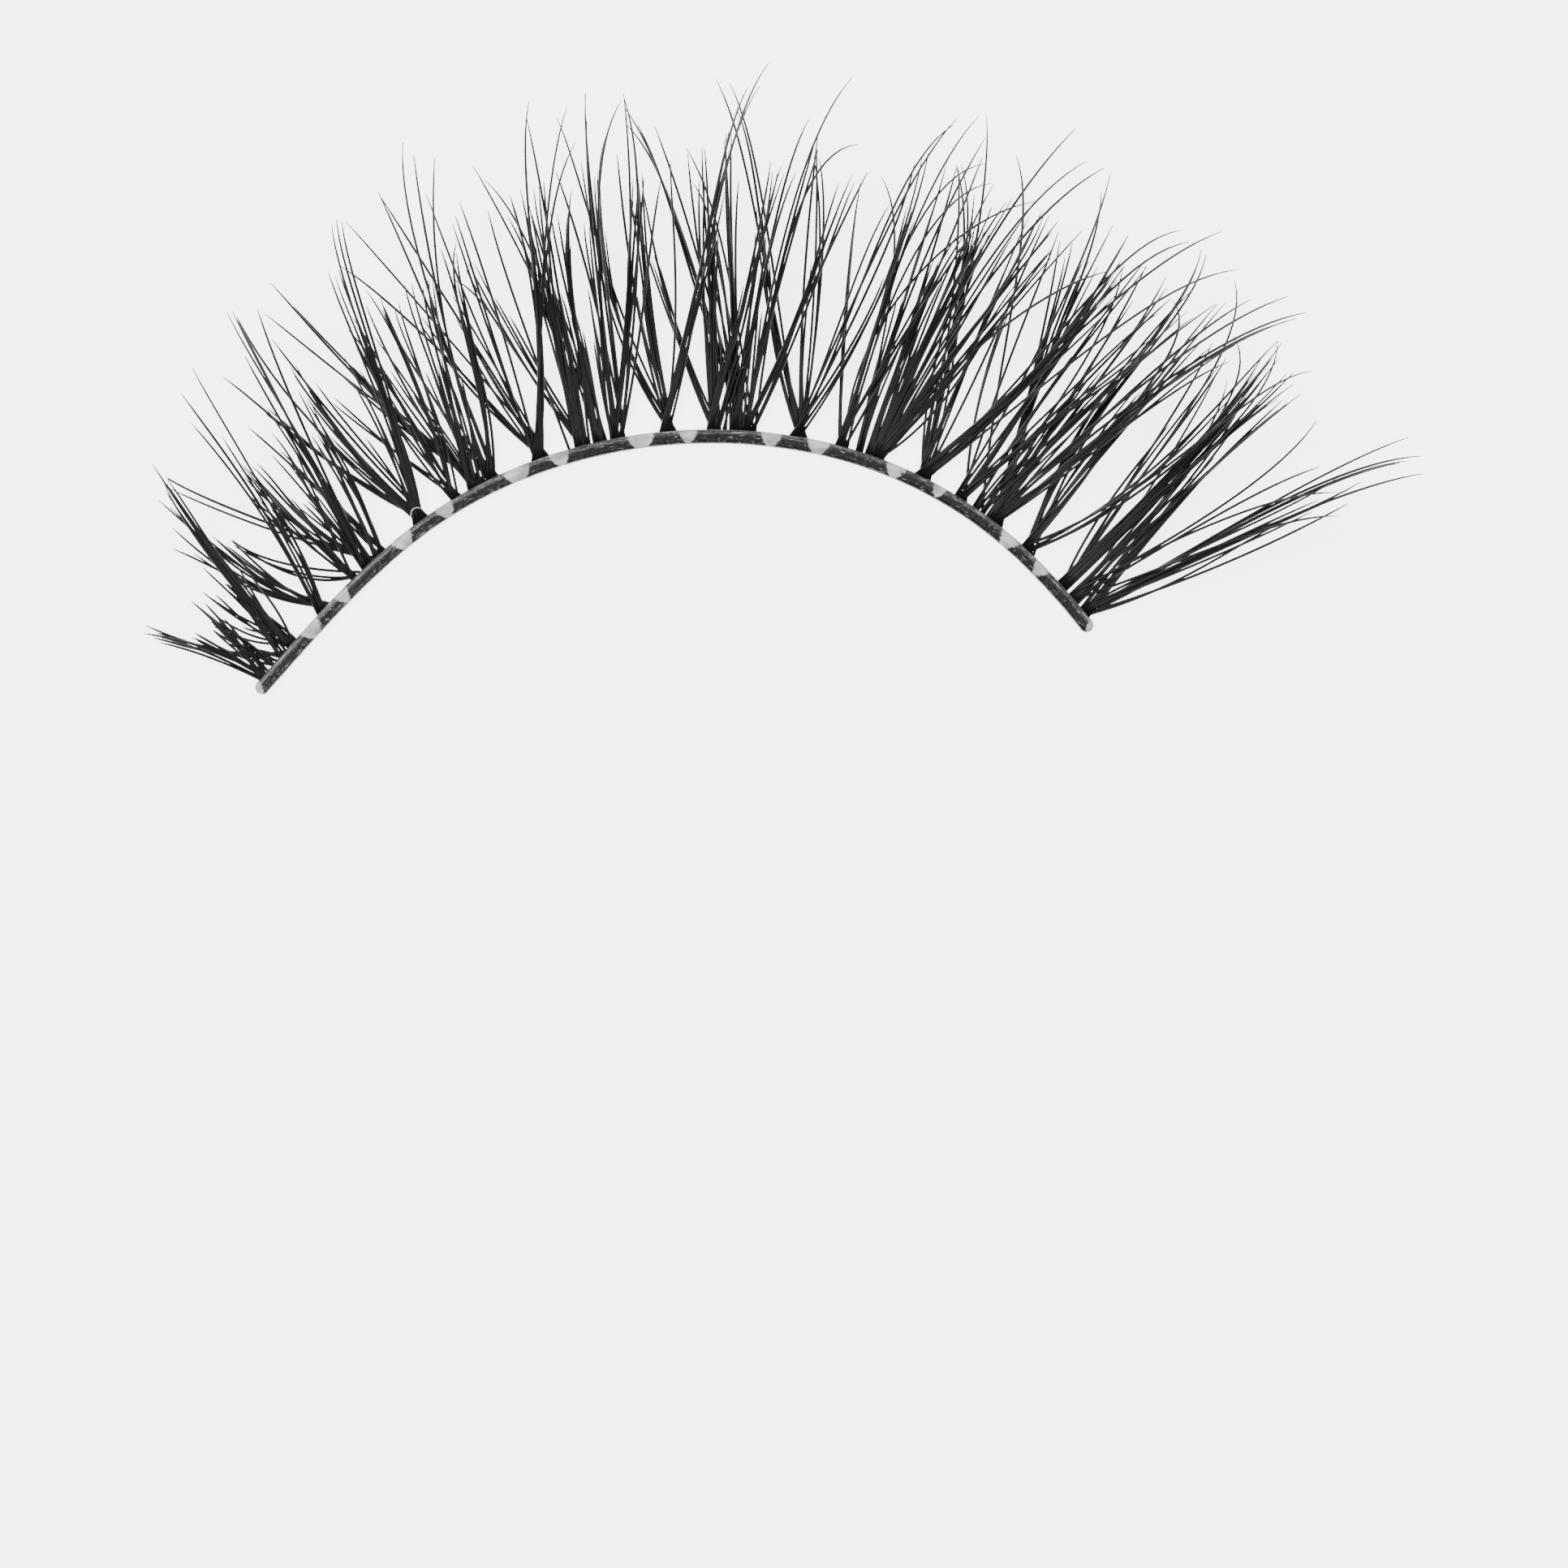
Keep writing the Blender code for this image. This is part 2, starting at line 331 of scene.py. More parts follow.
# %% [markdown]
# ## From path to fibre
#
# A lash fibre is a fine round thread. It keeps most of its thickness for two thirds of its length and then
# tapers to a fine tip. A curve with a bevel could make it, but thousands of curve points are slow to
# convert and carry no data of their own. Here rings of six corners are set straight round the path, and
# each point also stores how far along the hair it is and the hair's own tone, for the material to use.

# %% Tapered fibres in one mesh
HAIR_THICKNESS = 0.092 * MM
HAIR_SIDES = 6
# Columns: share of the hair's length, share of its full thickness.
HAIR_TAPER = [(0.00, 1.10), (0.15, 1.04), (0.45, 0.98), (0.70, 0.90), (0.88, 0.70), (1.00, 0.30)]


def taper(share):
    """Share of the full thickness at a share of the length."""
    for (start, thick), (end, thin) in zip(HAIR_TAPER, HAIR_TAPER[1:]):
        if share <= end:
            return thick + (thin - thick) * (share - start) / (end - start)
    return HAIR_TAPER[-1][1]


def smooth_object(name, mesh, numbers, material):
    """A smooth shaded object, with numbers stored at its mesh's points."""
    for label, values in numbers:
        attribute = mesh.attributes.new(label, "FLOAT", "POINT")
        attribute.data.foreach_set("value", values)
    mesh.polygons.foreach_set("use_smooth", [True] * len(mesh.polygons))
    mesh.materials.append(material)
    thing = bpy.data.objects.new(name, mesh)
    bpy.context.scene.collection.objects.link(thing)
    return thing


class FibreMesh:
    """Collects fibres, then turns them into one mesh object."""

    def __init__(self):
        self.points, self.faces, self.along, self.tone = [], [], [], []

    def add(self, path, thickness, tone, profile=taper, sides=HAIR_SIDES):
        """One fibre along a path."""
        base = len(self.points)
        last = len(path) - 1
        for step, centre in enumerate(path):
            ahead = path[min(step + 1, last)] - path[max(step - 1, 0)]
            across = ahead.cross(Vector((0.0, 0.0, 1.0))).normalized()
            over = across.cross(ahead).normalized()
            radius = thickness / 2 * profile(step / last)
            for side in range(sides):
                angle = 2 * math.pi * side / sides
                self.points.append(centre + (across * math.cos(angle) + over * math.sin(angle)) * radius)
                self.along.append(step / last)
                self.tone.append(tone)
        for step in range(last):
            for side in range(sides):
                near, far = base + step * sides, base + (step + 1) * sides
                after = (side + 1) % sides
                self.faces.append((near + side, near + after, far + after, far + side))
        self.faces.append(tuple(base + side for side in reversed(range(sides))))
        self.faces.append(tuple(base + last * sides + side for side in range(sides)))

    def make(self, name, material):
        """The finished mesh object, smooth shaded."""
        mesh = bpy.data.meshes.new(name)
        mesh.from_pydata([tuple(point) for point in self.points], [], self.faces)
        return smooth_object(name, mesh, (("along_hair", self.along), ("hair_tone", self.tone)), material)


print("Fibre:", HAIR_SIDES, "sides,", PATH_STEPS, "steps")

# %% [markdown]
# ## Lash finish
#
# The fibres are a soft black synthetic: very dark grey rather than pure black, with a dull sheen along the
# top and a thinner tip that is painted slightly paler, a painted stand-in for light showing through the
# thin fibre. A node group mixes the root tone, the paler tip tone and each hair's own tone, so the fibres
# of a bunch can be told apart.

# %% Node helpers
def new_group(name, inputs, outputs):
    """An empty shader node group with named sockets. Each socket is (name, type, value)."""
    group = bpy.data.node_groups.new(name, "ShaderNodeTree")
    for label, kind, value in inputs:
        socket = group.interface.new_socket(label, in_out="INPUT", socket_type=kind)
        socket.default_value = value
    for label, kind in outputs:
        group.interface.new_socket(label, in_out="OUTPUT", socket_type=kind)
    entry = group.nodes.new("NodeGroupInput")
    leave = group.nodes.new("NodeGroupOutput")
    return group, entry, leave


def new_material(name, roughness, specular):
    """A Principled material with its constant values on its own sockets."""
    material = bpy.data.materials.new(name)
    material.use_nodes = True
    shader = material.node_tree.nodes["Principled BSDF"]
    shader.inputs["Roughness"].default_value = roughness
    shader.inputs["Specular IOR Level"].default_value = specular
    return material, material.node_tree, shader


def place_group(tree, group):
    """A group node in a material's tree."""
    node = tree.nodes.new("ShaderNodeGroup")
    node.node_tree = group
    return node


print("Helpers for groups and materials ready")

# %% Hair colour group
def make_hair_group():
    """Colour of a fibre from its own tone and the place along it: paler towards the tip, where light
    showing through the thin fibre is painted in.
    """
    group, entry, leave = new_group(
        "hair_tone_and_painted_tip_light",
        [("Root", "NodeSocketColor", (0.002, 0.002, 0.002, 1.0)),
         # The tip colour is paler than the root: painted light showing through the thin tip.
         ("Tip", "NodeSocketColor", (0.011, 0.012, 0.012, 1.0)),
         ("Spread", "NodeSocketFloat", 0.8)],
        [("Colour", "NodeSocketColor")])
    links = group.links
    along = group.nodes.new("ShaderNodeAttribute")
    along.attribute_name = "along_hair"
    tone = group.nodes.new("ShaderNodeAttribute")
    tone.attribute_name = "hair_tone"
    mix = group.nodes.new("ShaderNodeMix")
    mix.data_type = "RGBA"
    links.new(along.outputs["Fac"], mix.inputs["Factor"])
    links.new(entry.outputs["Root"], mix.inputs["A"])
    links.new(entry.outputs["Tip"], mix.inputs["B"])
    swing = group.nodes.new("ShaderNodeMath")
    swing.operation = "MULTIPLY_ADD"
    swing.inputs[2].default_value = 1.0
    links.new(tone.outputs["Fac"], swing.inputs[0])
    links.new(entry.outputs["Spread"], swing.inputs[1])
    shade = group.nodes.new("ShaderNodeVectorMath")
    shade.operation = "SCALE"
    links.new(mix.outputs["Result"], shade.inputs[0])
    links.new(swing.outputs["Value"], shade.inputs["Scale"])
    links.new(shade.outputs["Vector"], leave.inputs["Colour"])
    return group


hair_group = make_hair_group()
print("Group:", hair_group.name)

# %% Hair material
def make_hair_material():
    """Soft black synthetic fibre."""
    material, tree, shader = new_material("lash_fibre", 0.42, 0.22)
    tint = place_group(tree, hair_group)
    tree.links.new(tint.outputs["Colour"], shader.inputs["Base Color"])
    return material


hair_material = make_hair_material()
print("Material:", hair_material.name)

# %% [markdown]
# ## Growing a cluster
#
# A row of a chart stands for one hair, or for a few that leave the band together and part towards their
# tips. The columns are: foot along the band, tip along and out of it, all in millimetres, then the lean
# where the hair leaves the band and at its tip, in degrees, and the number of hairs. A seeded random
# generator varies each hair's tone, thickness and curl a little, so the result is the same on every run.

# %% Cluster helper
PARTING = 0.09 * MM
CROSSING = 0.42
FOOT_SPREAD = 0.20
WIDEST_FOOT = 0.36
WOBBLE = 2  # degrees that a hair of a shared row may turn at its foot
SHORTER = 0.35  # millimetres that a hair of a shared row may fall short
CURL_RANGE = (0.97, 1.08)
RISE_RANGE = (0.0, 0.02)
THICKNESS_RANGE = (0.88, 1.08)


def foot_shift(rng, leaving):
    """How far a hair's foot lies from the middle of its bunch, in millimetres."""
    crossed = -CROSSING * math.tan(math.radians(leaving))
    return min(max(crossed + rng.uniform(-FOOT_SPREAD, FOOT_SPREAD), -WIDEST_FOOT), WIDEST_FOOT)


def grow_cluster(number, rows):
    """Hairs of one cluster as one piece, in place of its CAD solid."""
    fibres = FibreMesh()
    for row_number, (foot, tip_x, tip_y, leaving, arriving, hairs) in enumerate(rows):
        rng = random.Random(number * 1000 + row_number)
        for hair in range(hairs):
            side = 0.0 if hairs == 1 else 2 * hair / (hairs - 1) - 1
            spread = PARTING / MM * side * (hairs - 1)
            wobble = rng.uniform(-WOBBLE, WOBBLE) if hairs > 1 else 0.0
            short = rng.uniform(0, SHORTER) if hairs > 1 else 0.0
            lean = math.radians(arriving)
            tip = (tip_x + math.cos(lean) * spread - math.sin(lean) * short,
                   tip_y - math.sin(lean) * spread - math.cos(lean) * short)
            shift = foot_shift(rng, leaving) * MM
            flat, place = seen_path(number, foot, tip, math.radians(leaving + wobble), lean, shift)
            path = raised(flat, place, CURL_RADIUS * rng.uniform(*CURL_RANGE), rng.uniform(*RISE_RANGE))
            fibres.add(path, HAIR_THICKNESS * rng.uniform(*THICKNESS_RANGE), rng.uniform(-1, 1))
    piece = fibres.make(f"lash_hairs_{number:02d}", hair_material)
    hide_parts(f"lash_cluster_{number:02d}")
    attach(piece, "root")
    print(f"Cluster {number}: {sum(row[5] for row in rows)} hairs, {len(piece.data.polygons)} faces")
    return piece

# %% [markdown]
# ### Cluster 1
#
# The cluster at the inner corner is the shortest: 47 of its 54 hairs reach about 4 mm or less. A particle
# system could scatter them, but it couldn't put a hair where the picture shows one, so every cluster is
# charted row by row.

# %% Cluster 1
grow_cluster(1, [
    (-0.85, -2.4, 4.05, -12, -32, 1), (-0.9, -1.48, 2.6, -12, -16, 2), (-0.8, -1.22, 2.75, -6, -12, 1),
    (-0.75, -1.4, 2.7, -18, -24, 1), (-0.75, -0.63, 2.65, 2, 2, 2), (-0.75, -0.48, 3.55, 12, -4, 1),
    (-0.7, -0.22, 3.15, 24, 6, 1), (-0.7, -0.45, 2.75, 14, 8, 1), (0.05, -2.15, 4.15, -50, -20, 1),
    (0.05, -2.3, 3.9, -52, -30, 2), (0.1, -2.2, 3.7, -54, -30, 2), (-0.1, -0.48, 3.55, -14, -3, 1),
    (0.6, 0.02, 3.5, -24, -4, 1), (0.62, 0.14, 3.35, -22, -3, 2), (0.65, -0.62, 2.4, -62, -20, 1),
    (0.6, -0.3, 2.6, -50, -8, 1), (0.7, 2.17, 7.7, 4, 14, 1), (0.7, 1.9, 6.9, 6, 14, 2),
    (0.7, 2.12, 6.95, 6, 12, 1), (0.65, 1.85, 6.75, 8, 24, 1), (0.75, 0.65, 4.05, -2, 0, 1),
    (0.75, 0.62, 3.15, -2, 0, 1), (0.8, 0.75, 3.1, 0, 0, 1), (0.75, 0.9, 2.6, 4, 6, 2),
    (0.85, 1.55, 2.6, 30, 14, 1), (0.85, 1.52, 5, 10, 8, 1), (-0.95, -2.27, 3.6, -13, -30, 2),
    (-0.95, -1.62, 2.55, -14, -28, 2), (-0.35, -1.3, 2.6, -36, -14, 2), (-0.3, -0.62, 2.55, -14, 0, 2),
    (-0.1, -0.66, 1.9, -26, -4, 2), (-0.4, -0.25, 2.6, 6, 4, 2), (0.25, 0.7, 3.1, 12, 0, 2),
    (0.3, 0.78, 2.3, 14, 4, 2), (0.8, 1.42, 3.3, 9, 14, 2), (0.72, 1.95, 6.95, 1, 27, 1),
    (0.6, 0.1, 1.9, -22, -8, 2),
])

# %% [markdown]
# ### Cluster 2
#
# The clusters take turns: a wide one with several feet, then a narrow one that fans out from a single knot.
# This is the first narrow one. Its hairs part into two sheaves like the arms of a V.

# %% Cluster 2
grow_cluster(2, [
    (0, -2, 5.2, -36, -24, 1), (0, -1.47, 5.7, -42, 0, 1), (0, -1.1, 6.7, -31, -3, 1),
    (0, -1, 6.25, -29, 2, 1), (0, -0.83, 4.4, -31, -5, 2), (0, -0.85, 4.85, -29, -3, 2),
    (0, -0.65, 3.93, -25, -7, 1), (0, -0.41, 3.92, -19, -3, 1), (0.05, 3.05, 9, 22, 20, 1),
    (0.05, 2.12, 8.6, 22, 11, 1), (0.05, 1.62, 7.7, 22, 6, 1), (0.05, 2, 6.6, 24, 16, 1),
    (0, -1.62, 4.6, -42, -8, 1), (0, -1.35, 4.2, -44, -6, 2), (0.05, 1.75, 5.2, 34, 8, 2),
    (0.05, 1.2, 4.6, 30, 2, 2),
])

# %% [markdown]
# ### Cluster 3
#
# A wide cluster again. Its feet stand over a millimetre and a half of the band, and sheaves from the left
# feet cross those from the right ones, so the eye reads them as a lattice.

# %% Cluster 3
grow_cluster(3, [
    (-0.65, -2.84, 3.8, -47, -3, 1), (-0.85, -2.94, 3.62, -55, -17, 1), (-0.65, -1.39, 4.75, -9, -2, 1),
    (-0.65, -0.94, 5.36, -5, 5, 2), (-0.65, -0.8, 4.77, -7, -2, 1), (-0.65, 0.66, 5.52, 15, -1, 1),
    (-0.65, 0.59, 4.74, 21, 17, 1), (-0.65, 0.83, 4.55, 19, 19, 1), (0.03, -0.65, 5.47, -37, -7, 3),
    (0.03, -0.53, 4.98, -37, -7, 2), (0.03, 2.52, 9.83, 17, 18, 2), (0.03, 2.45, 9.25, 16, 15, 1),
    (0.03, 1.8, 8.16, 14, 16, 1), (0.03, 3.22, 9.05, 17, 26, 1), (0.65, 2.34, 6.05, 23, 17, 1),
    (0.65, 2.33, 5.3, 23, 21, 1), (0.65, 1.72, 4.65, 23, 10, 2), (0.03, -3.05, 6.85, -30, -18, 1),
    (0.03, -3.22, 6.55, -33, -22, 1), (0.03, -3.04, 6.95, -26, -14, 1), (-0.8, -2.85, 3.75, -66, -12, 1),
    (0.65, 0.2, 6.25, -4, -8, 1), (0.68, 0.26, 5.55, -5, -9, 1), (0.65, 0.46, 4.9, -8, -6, 1),
    (0.05, 0.15, 5, 5, 0, 1), (0, 0.36, 4.3, 9, 4, 1), (0.62, 0.57, 3.9, -6, 3, 2),
    (-0.1, -0.22, 3.3, -5, -4, 3), (0.1, 0.34, 3.4, 6, 2, 3), (-0.65, -1.05, 3.9, -16, 0, 2),
    (-0.65, -0.5, 3.6, 2, -6, 2), (0.7, 2.3, 5.6, 30, 14, 1), (0.72, 1.6, 4.2, 26, 10, 2),
    (0.7, 1.95, 5.8, 24, 0, 1), (0.65, 0.75, 3.4, 2, 4, 2), (0.03, 1.2, 6.3, 12, 8, 2),
    (0.3, 0.6, 2.6, 0, 2, 3), (0.03, 1.35, 5.6, 22, 12, 2),
])

# %% [markdown]
# ### Cluster 4
#
# A narrow cluster. Its long hairs on the left reach over the cluster before it. Rows with more than one
# hair share a foot and part towards their tips, which keeps the chart short.

# %% Cluster 4
grow_cluster(4, [
    (0, -2.62, 8, -30, -20, 1), (0, -1, 9.4, -20, 10, 1), (0, -0.48, 8.05, -10, -2, 1),
    (0, -0.42, 7, -10, 8, 2), (0, -0.5, 6.7, -12, 2, 2), (0.05, -0.14, 5.95, -6, 2, 1),
    (0.05, 3.8, 10.2, 24, 30, 3), (0.05, 2.65, 8.8, 24, 19, 3), (0.05, 1.18, 6.1, 18, 6, 1),
    (0.05, 0.98, 5.1, 17, 5, 2), (-0.05, -0.58, 6, -14, 2, 2), (0, -0.95, 4.4, -22, -8, 2),
    (0, 0.15, 3.4, 3, 2, 1), (0, -2.15, 6.4, -31, -16, 2), (0.05, 2.2, 7.2, 27, 16, 3),
    (0, -0.5, 5.2, -13, 0, 1),
])

# %% [markdown]
# ### Cluster 5
#
# A wide cluster. Short hairs fill the foot of each sheaf. The long ones on the right bend outwards near
# their tips, so the two leans of their rows differ most.

# %% Cluster 5
grow_cluster(5, [
    (-0.75, -3.02, 5.12, -29, -22, 2), (-0.75, -1.35, 6.85, -2, -16, 1), (-0.75, -1.4, 6.1, -4, -22, 1),
    (-0.75, -1, 7.1, -3, -8, 1), (-0.7, -0.15, 7.75, 14, -8, 1), (-0.7, 0.18, 7.3, 16, 14, 1),
    (-0.65, 0.13, 6.9, 16, 6, 1), (-0.65, 0.58, 6.95, 20, 16, 2), (0.15, -2.95, 9.5, -25, -15, 1),
    (0.1, -3.62, 8.65, -28, -24, 1), (0, -2.38, 5.85, -33, -20, 1), (0, -0.65, 6.2, -8, -10, 1),
    (0, -0.4, 7.25, -10, 6, 1), (0, 1.12, 7.3, 14, 18, 1), (0, 1.35, 7.2, 16, 20, 1),
    (0, 1.9, 7.1, 16, 22, 3), (0, 1.95, 7.05, 18, 32, 1), (0.7, 3.35, 11.65, 7, 32, 1),
    (0.7, 3.48, 11.1, 10, 21, 1), (0.75, 4.08, 10.68, 5, 32, 1), (0.7, 1.8, 10.55, 7, 3, 1),
    (0.75, 3.35, 7.72, 24, 44, 1), (0.75, 3.2, 7.4, 26, 24, 1), (0.75, 2.8, 7.8, 23, 10, 1),
    (0.15, -2.62, 8.4, -25, -15, 1), (0.1, -2.1, 6.6, -28, -14, 1), (0.1, -1.95, 5.9, -32, -14, 2),
    (0.1, -1.6, 4.9, -33, -10, 2), (0, -0.8, 5, -16, -4, 2), (0, -0.3, 3.9, -6, -2, 2),
    (0.62, 0.02, 6.9, -8, 4, 1), (0.05, 0.35, 4.3, 2, 6, 1), (0.1, 0.75, 5.3, 8, 10, 1),
    (0.62, 0.35, 3.2, -12, 0, 3), (0.1, 0.95, 4.5, 12, 14, 2), (0, -0.55, 2.4, -14, 2, 3),
    (-0.75, -1.05, 4.2, -8, 0, 2), (0.4, 1.15, 3.6, 14, 8, 3), (0.8, 2.75, 6.8, 28, 16, 2),
    (0.8, 2.5, 6, 30, 20, 1), (-0.85, -1.75, 5.4, -14, -10, 2),
])

# %% [markdown]
# ### Cluster 6
#
# A narrow, open V. The two outermost hairs on each side reach past the roots of the neighbouring clusters.
# They bow, so they leave the band more upright than they arrive.

# %% Cluster 6
grow_cluster(6, [
    (0, -4.3, 8.52, -22, -38, 1), (0, -3.62, 9.9, -21, -23, 1), (0, -2.22, 10.35, -13, -14, 1),
    (0, -1, 6.3, -9, -12, 1), (0, -1.15, 5.5, -13, -12, 1), (0, -0.18, 8.6, -3, 0, 1),
    (0, 0, 8.85, -1, 0, 1), (0, 0.3, 9.25, 5, -1, 1), (0.05, 3.7, 11.75, 20, 30, 1),
    (0.05, 2.42, 9, 20, 4, 1), (0.05, 4.87, 11.12, 21, 38, 1), (0.05, 4.75, 9.88, 22, 50, 1),
    (0.05, 2.02, 8.9, 22, 1, 1), (0.05, 2.8, 9.55, 22, 16, 1), (0, -0.7, 9.9, -10, -2, 1),
    (0, -0.98, 4.6, -20, -6, 2), (0, -0.7, 3.6, -18, -4, 1), (0.05, 2.1, 6.6, 24, 12, 1),
    (0, -2.35, 6, -32, -16, 2), (0.05, 2.2, 7, 28, 12, 2),
])

# %% [markdown]
# ### Cluster 7
#
# The cluster with the most hairs, 66. Three rows in four leave within ten degrees of straight out, so the
# hairs overlap. The feet are spread and the tips part, so that some light still shows between them.

# %% Cluster 7
grow_cluster(7, [
    (-0.65, -3.08, 6.95, -24, -14, 3), (-0.65, -3.72, 6.55, -28, -55, 1), (-1.14, -2.04, 8.6, -8, 0, 1),
    (0.05, -2.22, 10.25, -9, -18, 1), (0, -1.92, 9.65, -4, -36, 1), (-0.6, -1.42, 8.25, 2, -18, 1),
    (-0.65, -1.18, 8.95, -2, -2, 1), (-0.62, -0.05, 11.38, 4, 0, 1), (-0.62, -0.12, 9.25, 2, 8, 3),
    (-0.62, -0.7, 8.6, 0, 0, 2), (-0.62, -0.95, 6.3, -2, -3, 2), (0, -0.55, 6.6, -8, -2, 2),
    (0, 0.26, 7.95, 0, 2, 1), (0, 0.05, 8.1, -3, 4, 1), (0, 0.92, 8.65, 2, 22, 1), (0, 0.72, 8.1, 2, 24, 1),
    (0, 0.45, 7, 2, 16, 2), (0.7, 0.54, 9.4, 2, -8, 1), (0.65, 1.46, 9.55, 8, 4, 1),
    (0.7, 2.12, 11.85, 6, 15, 1), (0.7, 3.27, 11.32, 7, 45, 1), (0.7, 2.6, 10.4, 8, 35, 1),
    (0.7, 1.93, 9.1, 7, 12, 1), (0.65, 1.22, 7.6, 7, 10, 2), (0.8, 4, 8.3, 24, 25, 1),
    (0.75, 3.28, 8.6, 20, 16, 3), (0.75, 3.05, 7.9, 21, 22, 2), (0.75, 3.4, 11.55, 20, 6, 1),
    (0.75, 3.38, 11.4, 20, -6, 1), (-0.65, -2.45, 5.6, -22, -18, 1), (0.7, 1.95, 10.9, 6, 14, 1),
    (-0.62, -0.72, 8.5, 2, -4, 2), (-0.55, -0.45, 6.2, 4, -2, 3), (0, -0.22, 5.4, -6, -8, 3),
    (0.05, 0.05, 4.6, 2, -2, 2), (0.05, 0.18, 4, 6, 2, 2), (-0.6, -0.62, 5.2, 0, -4, 2),
    (0.65, 0.75, 5.2, 2, 2, 1), (0.62, 0.82, 4.4, 2, 4, 2), (0.62, 0.55, 3.4, -2, 2, 1),
    (-0.4, -0.3, 2.6, 4, 0, 3), (-0.7, -2.1, 4.9, -23, -18, 1), (0.78, 2.4, 6.2, 23, 18, 1),
])

# %% [markdown]
# ### Cluster 8
#
# The narrow cluster at the middle of the strip. Its longest hairs are about as long as any. Hairs that lean
# left stand on the right of the knot, and the other way round, so they cross above it.

# %% Cluster 8
grow_cluster(8, [
    (0.05, -2.95, 11.1, -24, -19, 1), (0, -1.92, 11.8, -31, 3, 1), (0, -1.72, 9.1, -31, 4, 2),
    (0, -0.98, 9.65, -12, -1, 1), (0, -0.68, 8, -10, -10, 1), (0, -0.27, 9, -9, 1, 2),
    (0, -0.32, 8.6, -9, 0, 1), (0, 0.83, 9.3, 14, 4, 1), (-0.05, 4.5, 12.38, 19, 42, 1),
    (-0.05, 3.7, 11.6, 20, 32, 1), (-0.05, 2.92, 10.1, 19, 15, 1), (-0.05, 4.1, 11.6, 19, 38, 1),
    (0, 2.2, 7, 20, 16, 1), (0, -0.6, 5, -14, -2, 2), (0, -1.8, 7.2, -31, -2, 3), (0, 2.55, 8.2, 23, 15, 2),
])

# %% [markdown]
# ### Cluster 9
#
# A wide cluster just right of the middle. Its outer rows lean by up to 29 degrees to either side, and more
# than half of its rows leave within ten degrees of straight out.

# %% Cluster 9
grow_cluster(9, [
    (-0.65, -3.85, 7.8, -28, -22, 1), (-0.65, -3.38, 8.15, -27, -14, 1), (0.35, -4.1, 10.95, -20, -38, 1),
    (0.35, -4.05, 10.4, -22, -48, 1), (0.5, -1.95, 9.65, -10, -36, 1), (-0.6, -1.87, 9.45, -4, -6, 1),
    (-0.6, -1.38, 9.7, -5, -1, 1), (-0.6, -1.3, 9.65, -4, -8, 1), (0.1, -1.62, 8.42, -6, -36, 1),
    (0.35, -0.48, 10.3, -7, 0, 2), (0.35, -0.65, 9.95, -7, -10, 1), (0.35, -0.5, 8.9, -7, -5, 1),
    (0.3, -0.08, 8.6, -4, 4, 1), (0.4, -0.95, 7, -12, -10, 1), (-0.6, -0.9, 6.9, -5, 0, 3),
    (-0.6, 1.46, 9.15, 14, 18, 2), (-0.6, 1, 9.25, 13, 6, 1), (-0.6, 1.07, 8.95, 13, 2, 1),
    (-0.6, 1.25, 8.9, 13, 9, 1), (0, 2.25, 10.8, 9, 26, 1), (-0.1, 1.88, 8.95, 10, 24, 1),
    (0.65, 3.7, 12.3, 8, 40, 1), (0.65, 2.58, 10, 9, 14, 2), (0.65, 4, 10, 4, 85, 1),
    (0.7, 3.92, 8.95, 24, 22, 2), (0.7, 4.35, 9.05, 24, 26, 1), (0.7, 3.38, 8.65, 24, 18, 1),
    (0.3, 0.75, 7, 4, 0, 3), (0.35, -3.65, 10.4, -24, -32, 1), (0.35, -3.05, 10.35, -16, -24, 1),
    (-0.65, -2.95, 5.9, -26, -22, 2), (-0.6, -0.95, 7.6, -4, -2, 2), (0.2, -1.05, 6.3, -14, -14, 2),
    (0.1, -0.65, 4.3, -14, -8, 2), (-0.6, -0.25, 3.2, 6, 4, 3), (0, -0.15, 3.4, 0, -6, 3),
    (-0.3, 0.35, 3, 10, 8, 2), (0.4, 0.8, 5, 4, 4, 1), (0.6, 0.62, 3.9, 2, 0, 1), (0.65, 1, 4.2, 6, 6, 2),
    (-0.6, 0.35, 5.2, 13, 8, 2), (-0.7, -2.9, 5.9, -29, -22, 1), (0.75, 3.35, 7.6, 28, 22, 1),
    (-0.8, -1.35, 8.6, -7, 0, 2),
])

# %% [markdown]
# ### Cluster 10
#
# A narrow cluster whose left arm reaches across cluster 9. Hairs that lean right ride over those that lean
# left, which the height rule takes care of.

# %% Cluster 10
grow_cluster(10, [
    (0, -4.78, 11.68, -24, -38, 1), (0, -4.3, 11.65, -19, -36, 1), (0, -3.9, 10.8, -25, -32, 1),
    (0, -2.6, 7.6, -28, -12, 2), (0, -1, 10.35, -10, -3, 1), (0, -0.98, 10, -2, -10, 1),
    (0.05, -0.95, 9.7, 1, -20, 2), (0.1, 1.84, 8.42, 14, 24, 1), (0.1, 3.65, 11.75, 15, 34, 1),
    (0.1, 2.45, 9.95, 18, 2, 1), (0.1, 3.55, 11.48, 16, 48, 1), (0.15, 2.78, 10.4, 28, 2, 2),
    (0, -2.45, 6.9, -29, -14, 2), (0, -2.1, 6, -32, -16, 2), (0, -0.6, 6.2, -13, -4, 2),
    (0.1, 2.05, 5.9, 28, 10, 1),
])

# %% [markdown]
# ### Cluster 11
#
# This cluster has the furthest reach out of the band, nearly 13 mm. Single long hairs stand clear of the
# bunch on the right, so they have rows of their own.

